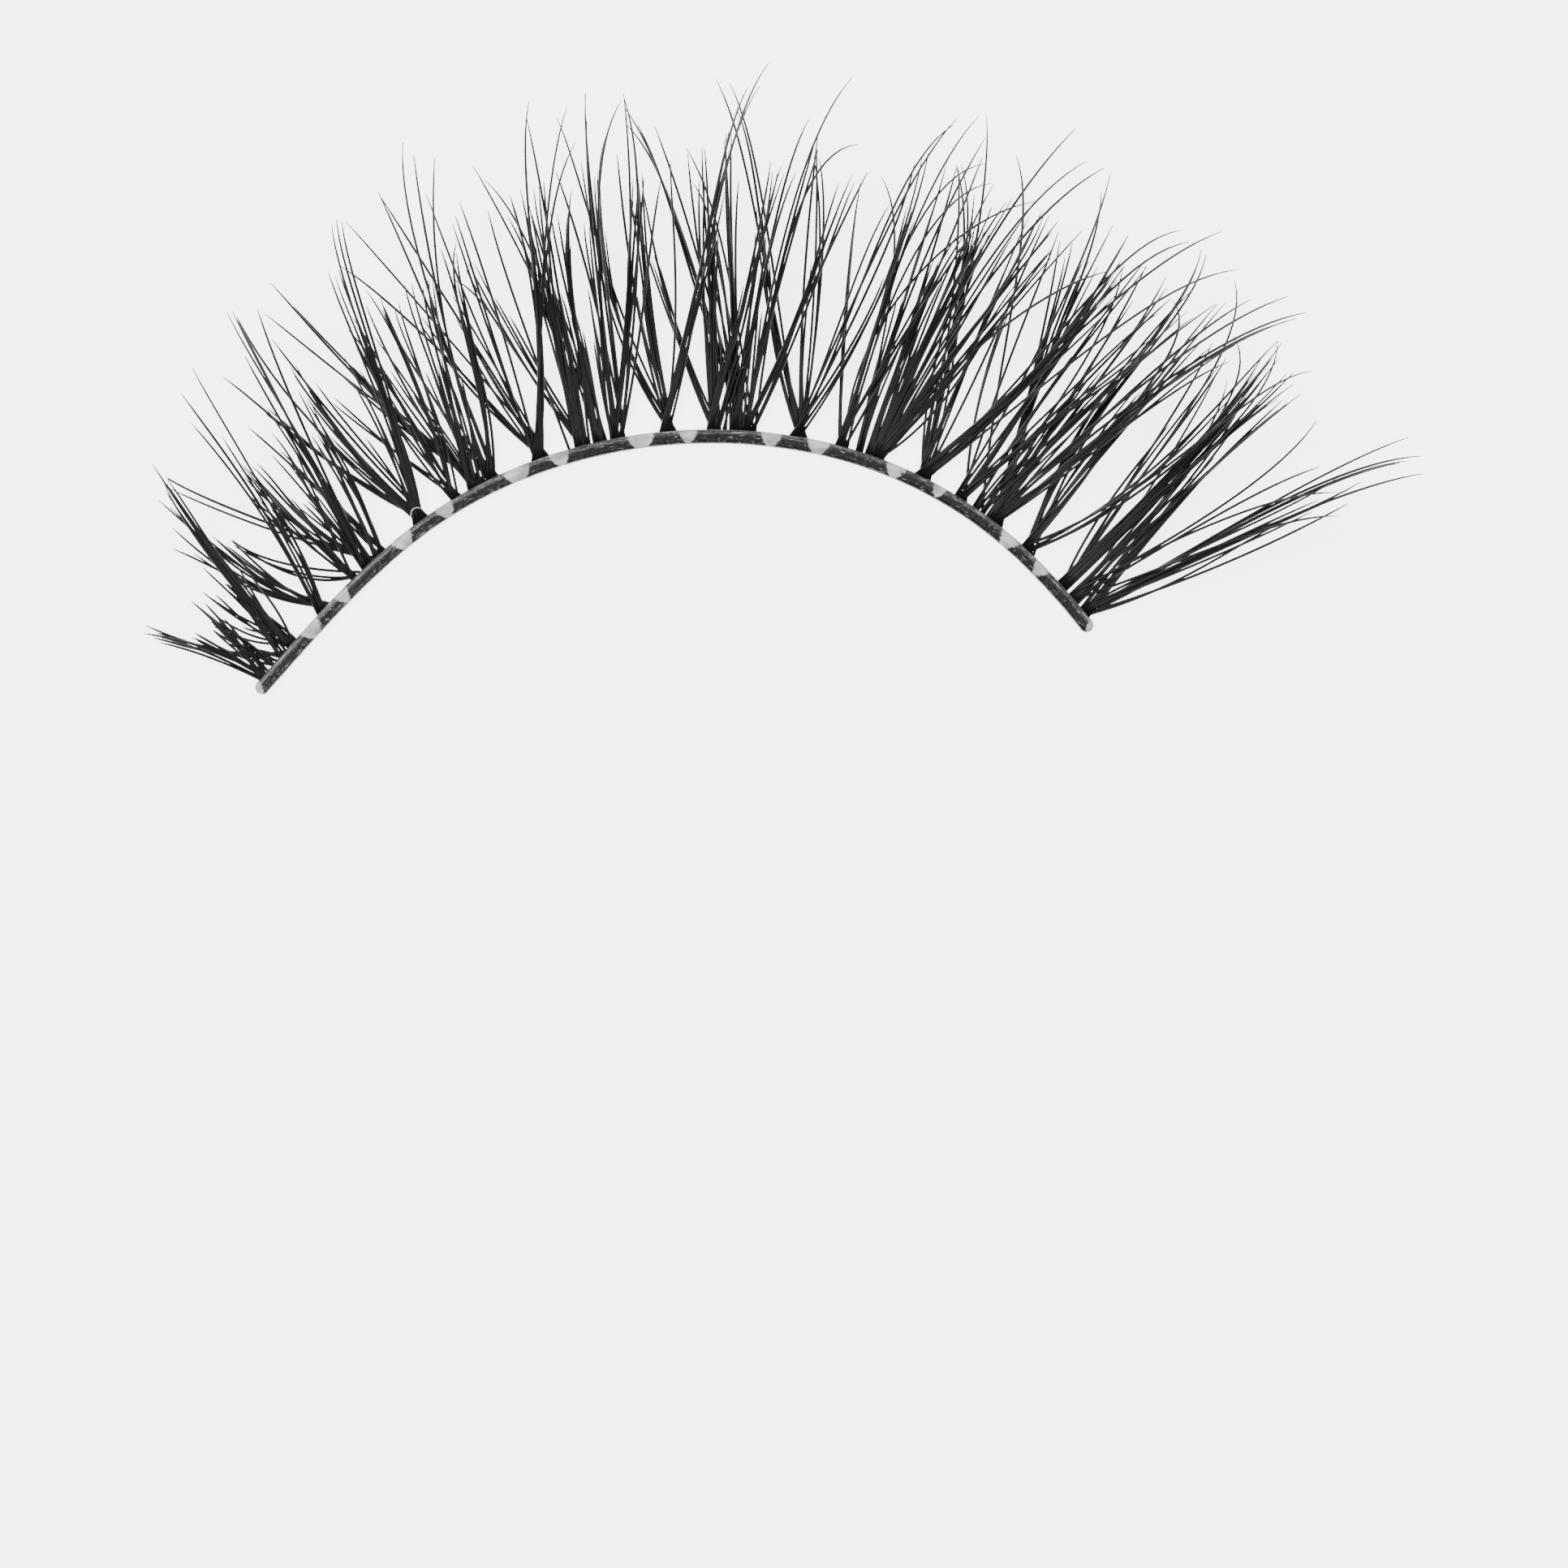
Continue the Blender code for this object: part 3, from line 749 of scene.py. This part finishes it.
# %% Cluster 11
grow_cluster(11, [
    (-0.68, -2.8, 8.8, -17, -8, 1), (0, -2.2, 9.27, -4, -50, 1), (-0.68, -0.95, 8.8, -2, -4, 2),
    (-0.68, -0.7, 8.4, 2, 6, 2), (-0.7, 0.4, 12.28, -3, 26, 1), (-0.68, 1.1, 10.76, -5, 66, 1),
    (-0.62, 1.5, 10.18, -6, 66, 1), (-0.58, 3.12, 10.02, -17, 66, 1), (0, -0.17, 10.42, -2, -3, 1),
    (0.4, 0.2, 10.35, 2, -3, 1), (0, 0.83, 11.6, -3, 14, 1), (0.3, 0.94, 10.95, 3, 3, 1),
    (-0.6, 1.2, 8.4, 12, 16, 3), (0.65, 1.6, 10.2, 3, 14, 1), (0.65, 1.76, 9.4, 6, 2, 1),
    (0.65, 2.2, 9.7, 6, 20, 1), (0.65, 3.7, 12.85, 4, 28, 1), (0.65, 4.42, 11.92, 8, 45, 1),
    (0.65, 5.07, 11.87, 9, 46, 1), (0.8, 6.25, 8.5, 20, 60, 1), (0.75, 5, 9.6, 24, 26, 1),
    (0.7, 4.1, 9.65, 20, 20, 1), (0.7, 4, 9.2, 20, 24, 1), (0.7, 4.3, 8.7, 25, 24, 2),
    (0.65, 3.48, 9.8, 18, 2, 2), (0.92, 3, 5.2, 42, 20, 1), (0.65, 1.7, 8.6, 6, 4, 4),
    (0.3, 0.5, 7.2, 2, 2, 2), (-0.68, -2.72, 8.2, -15, -10, 1), (-0.68, -2.6, 7.4, -18, -12, 1),
    (-0.05, -0.12, 9.2, -3, 2, 1), (0, -0.32, 5.6, -5, -6, 2), (0.45, 0.72, 6.6, 0, 6, 3),
    (0.4, 0.6, 5.2, 0, 2, 2), (0.55, 0.85, 4.6, 2, 8, 1), (0.05, 0.05, 4.2, -3, 2, 3),
    (-0.1, -0.3, 3.6, -6, -2, 2), (0.6, 1.25, 7.8, 4, 12, 2), (0.65, 1.55, 7.9, 5, 14, 2),
    (0.6, 2.75, 8.6, 18, 14, 1), (0.85, 4.2, 8.6, 30, 24, 1), (0.8, 3.4, 7.2, 31, 22, 1),
    (0.65, 3, 9.6, 12, 18, 1), (0.65, 2.35, 9.9, 6, 12, 1),
])

# %% [markdown]
# ### Cluster 12
#
# A narrow cluster with a long right arm. Its four outermost hairs sweep over cluster 13 and curve towards
# the outer corner, which is what a large arriving lean stands for.

# %% Cluster 12
grow_cluster(12, [
    (0, -3.53, 12.12, -10, -30, 1), (0, -3.72, 10.25, -13, -45, 2), (0, -3.65, 10.15, -14, -30, 1),
    (0, -2.72, 9.52, -13, -22, 1), (0, -2.35, 8.8, -13, -12, 2), (0, -1.97, 9.35, -27, -4, 1),
    (0, -0.68, 9.65, -5, 0, 1), (0, -0.62, 7.8, -5, -3, 1), (0, -0.35, 10.05, -4, 3, 1),
    (0, -0.08, 10, 2, 0, 1), (0.1, 2.95, 9.85, 26, 8, 2), (0.1, 2.9, 9.4, 26, 12, 3),
    (0.1, 2.67, 10.6, 26, 2, 1), (0.1, 4.22, 11.57, 25, 55, 1), (0.12, 4.65, 11.33, 23, 55, 1),
    (0.12, 5.5, 12.15, 22, 45, 1), (0.12, 6.55, 11.2, 26, 58, 1), (0, -1.85, 8.2, -22, -14, 2),
    (0.05, 3.2, 8.6, 26, 16, 3),
])

# %% [markdown]
# ### Cluster 13
#
# The widest spread of all: its outermost tips are more than 11 mm apart. Short rows near the feet close the
# gaps low down.

# %% Cluster 13
grow_cluster(13, [
    (-0.72, -2.78, 12.12, -3, -22, 1), (0.75, -2.68, 11.42, -22, -34, 1), (0.75, -1.6, 9.3, -23, -8, 4),
    (0.75, -1.6, 8.9, -23, -10, 2), (0.7, -1.7, 10.7, -22, -8, 1), (-0.6, -1.06, 10.7, 0, -3, 1),
    (0.1, -5.8, 10.78, -30, -54, 1), (-0.6, -3.12, 9.45, -18, -16, 1), (0.6, -2.9, 9.22, -20, -26, 1),
    (0.7, -2.42, 8.85, -20, -24, 1), (0.7, -2.5, 9.42, -20, -22, 1), (-0.75, -3.25, 7.4, -33, -9, 1),
    (-0.75, -2.95, 6.2, -34, -14, 1), (-0.7, -0.65, 10.05, 0, 2, 2), (-0.7, -0.78, 8.6, 1, -3, 2),
    (-0.1, 0, 10.4, -4, 3, 2), (0.5, 0.05, 10.2, 1, -8, 1), (0.5, 0.36, 8.95, -2, 0, 1),
    (0.1, -0.6, 9.7, 4, -28, 1), (0.75, 0.82, 10.25, 3, -10, 1), (0.75, 1.05, 9.95, 2, 0, 1),
    (0, 2.77, 10.5, 12, 22, 1), (0.8, 3.65, 11.28, 12, 28, 1), (0.8, 4.66, 12.12, 12, 38, 1),
    (0.8, 5.5, 12.02, 14, 46, 1), (0.8, 5.35, 11.68, 14, 42, 1), (0.4, 2.1, 9.7, 12, 16, 1),
    (0.4, 2.4, 9.7, 12, 20, 1), (0.8, 4.27, 9.12, 24, 34, 1), (0.8, 4.12, 9.7, 22, 28, 1),
    (0.8, 3.45, 9.1, 22, 16, 1), (0.8, 2.75, 8.9, 22, 0, 2), (-0.65, 1.8, 8.2, 16, 18, 3),
    (-0.65, 1.4, 9.8, 14, 16, 1), (-0.65, 1.3, 9.1, 14, 22, 1), (0.8, 5.1, 11.35, 14, 42, 1),
    (0, -0.3, 6.2, -6, -2, 1), (0.3, 0.35, 5, 0, 2, 2), (0.5, 0.75, 6.4, 2, 4, 2),
    (0.7, 1.45, 6.2, 4, 14, 3), (0.6, 1.2, 4.8, 4, 10, 3), (0.1, 0.15, 3.6, -2, 2, 3),
    (0.35, 0.55, 3.4, 2, 4, 2),
])

# %% [markdown]
# ### Cluster 14
#
# The last narrow cluster. One of its hairs is hooked: it leaves the band with a small lean and turns hard
# to the left at its tip. A Bezier curve draws the hook from the same six numbers as any other hair.

# %% Cluster 14
grow_cluster(14, [
    (0, -2.66, 11.75, -25, -34, 2), (0, -1.8, 8.6, -26, -6, 2), (0, -1.97, 10.4, -24, 2, 1),
    (0, -2.2, 9.7, -14, -80, 1), (0, -0.93, 11, -4, -2, 2), (0, -0.85, 8.6, -3, -5, 3),
    (0, -0.52, 9.3, -3, 0, 1), (0.1, 1.38, 11.15, 22, 3, 1), (0.1, 1.95, 9.1, 26, 4, 1),
    (0.1, 2.93, 11.2, 28, 38, 1), (0, -2.35, 11, -26, -22, 1), (0, -1.75, 6, -31, -12, 2),
    (0, -0.95, 6.8, -16, -2, 2), (0.1, 1.45, 8.6, 26, -2, 2),
])

# %% [markdown]
# ### Cluster 15
#
# The cluster at the outer corner. A bunch of long hairs on its right stands apart from the rest.

# %% Cluster 15
grow_cluster(15, [
    (-0.55, -4.6, 11.37, -18, -66, 1), (-0.6, -3.45, 9.37, -19, -26, 1), (-0.55, -2.75, 9.4, -16, -20, 1),
    (0.1, -2.6, 8.9, -16, -24, 1), (0.2, -3.15, 10.07, -10, -85, 1), (0.2, -2.15, 8.93, -8, -40, 1),
    (-0.55, -1.9, 11.22, -2, -14, 1), (-0.55, -1.68, 10.92, -2, -12, 2), (-0.55, -1.95, 10.3, -3, -20, 1),
    (0.1, -1.45, 10.2, -7, -12, 1), (-0.55, -1.55, 9.9, -2, -14, 3), (-0.5, -1.15, 8.6, -2, -10, 4),
    (-0.5, -2.03, 11.12, -2, -50, 1), (-0.5, -0.55, 10.55, -4, 6, 1), (-0.5, -0.62, 9.9, -4, 6, 2),
    (-0.5, -0.98, 10.65, -3, -8, 1), (-0.5, -0.85, 10.8, -3, -6, 1), (0.6, -0.13, 10.52, -12, 3, 1),
    (0.6, -0.3, 10.2, -12, -2, 2), (0.65, -1.15, 8.65, -14, -20, 3), (0.65, -0.35, 7, -14, -8, 2),
    (0.1, 0.93, 10.35, 13, -16, 1), (0.1, 2.2, 9.37, 10, 24, 1), (0.1, 3.3, 9.3, 12, 44, 1),
    (0.15, 3.9, 8.75, 22, 44, 1), (0.75, 3.43, 12.37, 10, 22, 1), (0.78, 4.2, 12.27, 9, 38, 1),
    (0.78, 3.98, 11.75, 11, 34, 1), (0.8, 4.7, 11.92, 13, 32, 1), (0.78, 3.52, 10.1, 14, 10, 1),
    (0.85, 3.8, 9.3, 24, 12, 1), (0.75, 2.88, 9.5, 12, 6, 1), (0.78, 3.2, 8.8, 15, 18, 2),
    (0.8, 2.6, 6.9, 16, 20, 1), (-0.55, -2.7, 9, -20, -14, 1), (-0.6, -2.3, 6.4, -26, -14, 1),
    (-0.2, -0.55, 6, -4, -4, 3), (0, -0.3, 5, -4, -4, 3), (0.15, -0.1, 3.6, -4, -6, 3),
    (-0.55, -1.45, 9.3, -4, -14, 2), (-0.55, -1.75, 10.6, -4, -12, 1), (0.6, -0.22, 9.6, -14, 2, 1),
    (0.78, 3.2, 8.2, 20, 14, 1), (0.8, 2.75, 6.9, 26, 16, 1), (0.78, 3.9, 11.55, 11, 32, 1),
])

# %% [markdown]
# ## Root knots
#
# On the real strip each hair is knotted to a thread, and the row of knots is sealed into the band. They
# show through the plastic as fifteen dark patches, one under each cluster, with clear windows between them.
# The dark colour could be painted alone, but from the side the patches would then be flat. So short thick
# fibres lie in two rows just under the band's top, and their crowns stand a little proud of it.

# %% Where the knots are
# Columns: start and end of each patch, as shares of the band's length.
KNOT_PATCHES = [(0.007, 0.076), (0.094, 0.126), (0.137, 0.205), (0.223, 0.260), (0.274, 0.337),
                (0.360, 0.387), (0.402, 0.468), (0.489, 0.520), (0.533, 0.603), (0.618, 0.650),
                (0.667, 0.733), (0.748, 0.785), (0.793, 0.867), (0.884, 0.913), (0.925, 0.994)]
BEADS_PER_ROW = 5  # for each millimetre of the band
BEAD_ROWS = (-0.10 * MM, 0.00 * MM)
BEAD_STEPS = 5
BEAD_SIDES = 8
BEAD_ARCH = 0.10 * MM
FIRST_SEED = 500

print("Patches of knots:", len(KNOT_PATCHES))

# %% Filling a patch with knots
def bead(share):
    """Thickness of a knot along its length: thin at both ends."""
    return math.sin(math.pi * (0.12 + 0.76 * share))


def knot_patch(fibres, patch, seed):
    """Rows of little knots that fill one patch."""
    rng = random.Random(seed)
    start, end = patch
    for row in BEAD_ROWS:
        beads = int((end - start) * BAND_LENGTH / MM * BEADS_PER_ROW)
        for place in (start + (end - start) * (number + rng.random()) / beads for number in range(beads)):
            turn = rng.gauss(0.0, 0.7)
            length = rng.uniform(0.12, 0.20) * MM
            middle = Vector((*band_point(place, row + rng.uniform(-0.03, 0.03) * MM), 0.0))
            middle.z = BAND_THICKNESS - rng.uniform(0.050, 0.070) * MM
            way = out_of_band(place) * math.cos(turn) + along_band(place) * math.sin(turn)
            path = []
            for step in range(BEAD_STEPS + 1):
                t = step / BEAD_STEPS - 0.5
                drop = BEAD_ARCH * t * t
                path.append(middle + Vector((*(way * (length * t)), -drop)))
            fibres.add(path, rng.uniform(0.12, 0.17) * MM, rng.uniform(-1, 1), bead, BEAD_SIDES)


print("Rows of knots in a patch:", len(BEAD_ROWS))

# %% Knots of the whole band
def make_knot_material():
    """The same fibre, sealed in the band."""
    material, tree, shader = new_material("sealed_knots", 0.45, 0.25)
    tint = place_group(tree, hair_group)
    # The knots take the paler tip colour at their ends too: the same painted see-through light as on the
    # hair tips.
    tint.inputs["Tip"].default_value = (0.012, 0.013, 0.013, 1.0)
    tree.links.new(tint.outputs["Colour"], shader.inputs["Base Color"])
    return material


def make_knots(material):
    """All fifteen patches of knots as one piece."""
    fibres = FibreMesh()
    for number, patch in enumerate(KNOT_PATCHES):
        knot_patch(fibres, patch, FIRST_SEED + number)
    piece = fibres.make("root_knots", material)
    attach(piece, "root")
    return piece


knots = make_knots(make_knot_material())
print("Knots:", len(knots.data.polygons), "faces")

# %% [markdown]
# ## Clear band
#
# The band is a clear plastic strip that has gone a little cloudy. Over white it reads as a pale grey green.
# Its section is a flattened bead with rounded edges. It is swept along the band line and narrows to a round
# end. A bevelled curve would do that too, but a swept mesh can carry numbers at each point: how far along
# and across the band it lies, and how deep in a patch of knots. The material reads those three, so its
# streaks and patches follow the bend of the band.

# %% Band section
BAND_RINGS = 520
BAND_WAVE = 0.02
# The section, as shares of the width and thickness, from the outer edge over the top and back underneath.
BAND_SECTION = [(0.50, 0.45), (0.48, 0.72), (0.40, 0.92), (0.25, 0.98), (0.05, 1.00), (-0.20, 0.99),
                (-0.38, 0.93), (-0.47, 0.74), (-0.50, 0.45), (-0.47, 0.16), (-0.38, 0.02), (0.38, 0.02),
                (0.47, 0.16)]


print("Section points:", len(BAND_SECTION))

# %% Where the band is dark
# As shares of the band's length: how far a patch's end leans, how soft it is, and how far a window bulges.
PATCH_SLANT = 0.004
PATCH_EDGE = 0.005
WINDOW_ROUND = 0.0020


def patch_depth(share, across):
    """1 inside a patch of knots, 0 in a clear window, with soft slanting ends."""
    depth = 0.0
    for start, end in KNOT_PATCHES:
        slant = PATCH_SLANT * across
        bulge = WINDOW_ROUND * (1 - across * across) - WINDOW_ROUND / 2
        near = min(share - start - slant - bulge, end - slant - bulge - share)
        depth = max(depth, min(max(near / PATCH_EDGE + 0.5, 0.0), 1.0))
    return depth


print("Depth in the first patch:", round(patch_depth(0.04, 0.0), 2))

# %% Round ends
NARROWEST_END = 0.15


def end_width(share):
    """Share of the full width that is left near the band's round ends."""
    gap = min(share, 1 - share) * BAND_LENGTH / (BAND_WIDTH / 2)
    return max(math.sqrt(1 - (1 - gap) ** 2), NARROWEST_END) if gap < 1 else 1.0


print("Width at the very end:", end_width(0.0))

# %% Band shape
def make_band(material):
    """The clear strip, in place of the CAD band."""
    along, side_way, patch = [], [], []
    rng = random.Random(7)
    mesh = bpy.data.meshes.new("clear_band")
    body = bmesh.new()
    rings = []
    for ring in range(BAND_RINGS + 1):
        share = ring / BAND_RINGS
        round_off = end_width(share)
        wave = 1 + rng.uniform(-BAND_WAVE, BAND_WAVE)
        ring_verts = []
        for across, up in BAND_SECTION:
            flat = band_point(share, across * BAND_WIDTH * wave * round_off)
            height = BAND_THICKNESS * (0.5 + (up - 0.5) * (0.55 + 0.45 * round_off))
            ring_verts.append(body.verts.new((*flat, height)))
            along.append(share * BAND_LENGTH / MM)
            side_way.append(across * 2)
            patch.append(patch_depth(share, across * 2))
        rings.append(ring_verts)
    sides = len(BAND_SECTION)
    for near, far in zip(rings, rings[1:]):
        for side in range(sides):
            after = (side + 1) % sides
            body.faces.new((near[side], near[after], far[after], far[side]))
    body.faces.new(list(reversed(rings[0])))
    body.faces.new(rings[-1])
    bmesh.ops.recalc_face_normals(body, faces=body.faces)
    body.to_mesh(mesh)
    body.free()
    numbers = (("band_along", along), ("band_across", side_way), ("knot_depth", patch))
    band = smooth_object("clear_band_strip", mesh, numbers, material)
    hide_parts("band")
    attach(band, "root")
    return band


print("Band sweep ready:", BAND_RINGS, "steps")

# %% Ramp and noise helpers
def ramp_node(tree, source, stops):
    """A colour ramp with its own stops, fed by a value. Each stop is (position, grey or colour)."""
    node = tree.nodes.new("ShaderNodeValToRGB")
    ramp = node.color_ramp
    while len(ramp.elements) < len(stops):
        ramp.elements.new(0.5)
    for element, (position, colour) in zip(ramp.elements, stops):
        element.position = position
        element.color = (*colour, 1.0) if isinstance(colour, tuple) else (colour, colour, colour, 1.0)
    tree.links.new(source, node.inputs["Fac"])
    return node.outputs["Color"]


def noise_node(tree, vector, scale, detail):
    """A cloudy noise over any coordinates."""
    node = tree.nodes.new("ShaderNodeTexNoise")
    node.inputs["Scale"].default_value = scale
    node.inputs["Detail"].default_value = detail
    tree.links.new(vector, node.inputs["Vector"])
    return node.outputs["Fac"]


print("Ramp and noise ready")

# %% Mix, math and attribute helpers
def mixed(tree, factor, first, second, blend="MIX"):
    """One colour mixed into another by a factor."""
    node = tree.nodes.new("ShaderNodeMix")
    node.data_type = "RGBA"
    node.blend_type = blend
    for socket, source in (("Factor", factor), ("A", first), ("B", second)):
        if isinstance(source, float):
            node.inputs[socket].default_value = source
        else:
            tree.links.new(source, node.inputs[socket])
    return node.outputs["Result"]


def math_node(tree, operation, *values):
    """A math node fed by sockets or plain numbers."""
    node = tree.nodes.new("ShaderNodeMath")
    node.operation = operation
    for socket, value in zip(node.inputs, values):
        if isinstance(value, (int, float)):
            socket.default_value = value
        else:
            tree.links.new(value, socket)
    return node.outputs["Value"]


def attribute_value(tree, label):
    """A number stored on the mesh."""
    node = tree.nodes.new("ShaderNodeAttribute")
    node.attribute_name = label
    return node.outputs["Fac"]


print("Mix, math and attribute ready")

# %% [markdown]
# ## Cloudy plastic
#
# Three noises do the work. A slow one clouds the clear windows, one stretched along the band draws pale
# streaks that are painted highlights, and a fine one mottles the dark patches and frays their ends. Real
# transparent plastic would need the light to find its way through a sliver a quarter of a millimetre thick,
# and it would be noisy at this size. Over a white table it looks the same as a pale solid, so the colour is
# painted instead. Painted light is part of that colour: short pale dashes in the dark patches are painted
# glints, and both long edges are darkened with painted shade.

# %% Band material
def make_band_material():
    """Cloudy clear plastic with the knots showing through it, painted highlight streaks and glints, and
    painted shade along its edges.
    """
    material, tree, shader = new_material("cloudy_plastic", 0.26, 0.35)
    along = attribute_value(tree, "band_along")
    across = attribute_value(tree, "band_across")
    depth = attribute_value(tree, "knot_depth")

    def stretched(along_scale, across_scale):
        node = tree.nodes.new("ShaderNodeCombineXYZ")
        tree.links.new(math_node(tree, "MULTIPLY", along, along_scale), node.inputs["X"])
        tree.links.new(math_node(tree, "MULTIPLY", across, across_scale), node.inputs["Y"])
        return node.outputs["Vector"]

    cloud = noise_node(tree, stretched(1.0, 0.5), 1.6, 3.0)
    streak = noise_node(tree, stretched(0.9, 5.0), 1.0, 2.0)
    speck = noise_node(tree, stretched(1.0, 0.25), 9.0, 3.0)
    clear = ramp_node(tree, cloud, [(0.32, (0.20, 0.23, 0.22)), (0.50, (0.40, 0.44, 0.42)),
                                    (0.66, (0.62, 0.66, 0.64))])
    # Pale streaks along the band: painted highlights.
    highlight_streak = ramp_node(tree, streak, [(0.56, 0.0), (0.66, 1.0)])
    clear = mixed(tree, math_node(tree, "MULTIPLY", highlight_streak, 0.6), clear, ramp_node(
        tree, cloud, [(0.0, (0.14, 0.16, 0.15)), (1.0, (0.80, 0.83, 0.81))]))
    dark = ramp_node(tree, speck, [(0.42, 0.002), (0.58, 0.009), (0.68, 0.040), (0.78, 0.26)])
    outer = ramp_node(tree, math_node(tree, "MULTIPLY_ADD", across, 0.5, 0.5), [(0.62, 0.0), (0.78, 1.0)])
    # Over the outer edge of a patch the knots show fainter through the plastic; where a streak crosses, it
    # is a painted highlight.
    veil_and_highlight = mixed(tree, highlight_streak, ramp_node(tree, speck, [(0.35, 0.020), (0.70, 0.090)]), ramp_node(
        tree, speck, [(0.30, 0.10), (0.75, 0.45)]))
    dark = mixed(tree, outer, dark, veil_and_highlight)
    ragged = math_node(tree, "MULTIPLY_ADD", math_node(tree, "SUBTRACT", speck, 0.5), 1.1, depth)
    patch = ramp_node(tree, ragged, [(0.28, 0.0), (0.66, 1.0)])
    # Short pale dashes in the dark patches: painted glints.
    glint = ramp_node(tree, noise_node(tree, stretched(1.7, 4.0), 1.6, 1.0), [(0.66, 0.0), (0.72, 0.75)])
    dark = mixed(tree, glint, dark, ramp_node(tree, cloud, [(0.3, 0.30), (0.7, 0.55)]))
    colour = mixed(tree, patch, clear, dark)
    # Both long edges of the band are darkened towards a dim grey: painted shade, as the edges of a clear
    # strip look darker.
    side = math_node(tree, "ABSOLUTE", across)
    painted_rim_shade = ramp_node(tree, side, [(0.74, 0.0), (0.90, 1.0)])
    colour = mixed(tree, math_node(tree, "MULTIPLY", painted_rim_shade, 0.50), colour, ramp_node(
        tree, cloud, [(0.3, 0.07), (0.7, 0.16)]))
    tree.links.new(colour, shader.inputs["Base Color"])
    bump = tree.nodes.new("ShaderNodeBump")
    bump.inputs["Strength"].default_value = 0.4
    bump.inputs["Distance"].default_value = 0.00002
    tree.links.new(mixed(tree, depth, streak, speck), bump.inputs["Height"])
    tree.links.new(bump.outputs["Normal"], shader.inputs["Normal"])
    return material


band_material = make_band_material()
band = make_band(band_material)
print("Band:", len(band.data.polygons), "faces")

# %% [markdown]
# ## Glue thread
#
# A fine string of dried glue bows over the foot of the fourth cluster. It is pale where the hairs are
# black, so it shows in the photograph though it is thinner than a hair. It is one short fibre in an arc.

# %% Glue thread
THREAD_SHARE = 0.240
THREAD_HALF_SPAN = 0.22 * MM
THREAD_OFFSET = 0.05 * MM
THREAD_THICKNESS = 0.045 * MM
THREAD_STEPS = 12
THREAD_SIDES = 8
GLUE_CLOUDS = 9000.0  # noise cells in a metre, about a ninth of a millimetre each


def even(share):
    """The same thickness all along."""
    return 1.0


def make_glue_thread():
    """A pale arc over the foot of a cluster."""
    material, tree, shader = new_material("dried_glue", 0.30, 0.5)
    place = tree.nodes.new("ShaderNodeTexCoord").outputs["Object"]
    clouds = noise_node(tree, place, GLUE_CLOUDS, 3.0)
    pale = ramp_node(tree, clouds, [(0.35, (0.34, 0.38, 0.36)), (0.65, (0.50, 0.54, 0.52))])
    worn = ramp_node(tree, clouds, [(0.30, 0.22), (0.70, 0.42)])
    tree.links.new(pale, shader.inputs["Base Color"])
    tree.links.new(worn, shader.inputs["Roughness"])
    path = []
    for step in range(THREAD_STEPS + 1):
        t = 2 * step / THREAD_STEPS - 1
        share = THREAD_SHARE + (t * THREAD_HALF_SPAN + THREAD_OFFSET) / BAND_LENGTH
        flat = band_point(share, 0.25 * MM + (0.45 - 0.15 * t * t) * MM)
        path.append(Vector((*flat, (0.42 - 0.20 * t * t) * MM)))
    fibres = FibreMesh()
    fibres.add(path, THREAD_THICKNESS, 0.0, even, THREAD_SIDES)
    piece = fibres.make("glue_thread", material)
    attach(piece, "root")
    return piece


thread = make_glue_thread()
print("Glue thread:", len(thread.data.polygons), "faces")

# %% [markdown]
#
# The dressed model must keep the size of the CAD model. Both boxes are written down so they can be
# compared.

# %% Sizes and finish
dressed_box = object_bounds()
dressed_size = [round((high - low) / MM, 2) for low, high in zip(*dressed_box)]
print("CAD size in mm:", cad_size, "dressed size in mm:", dressed_size)
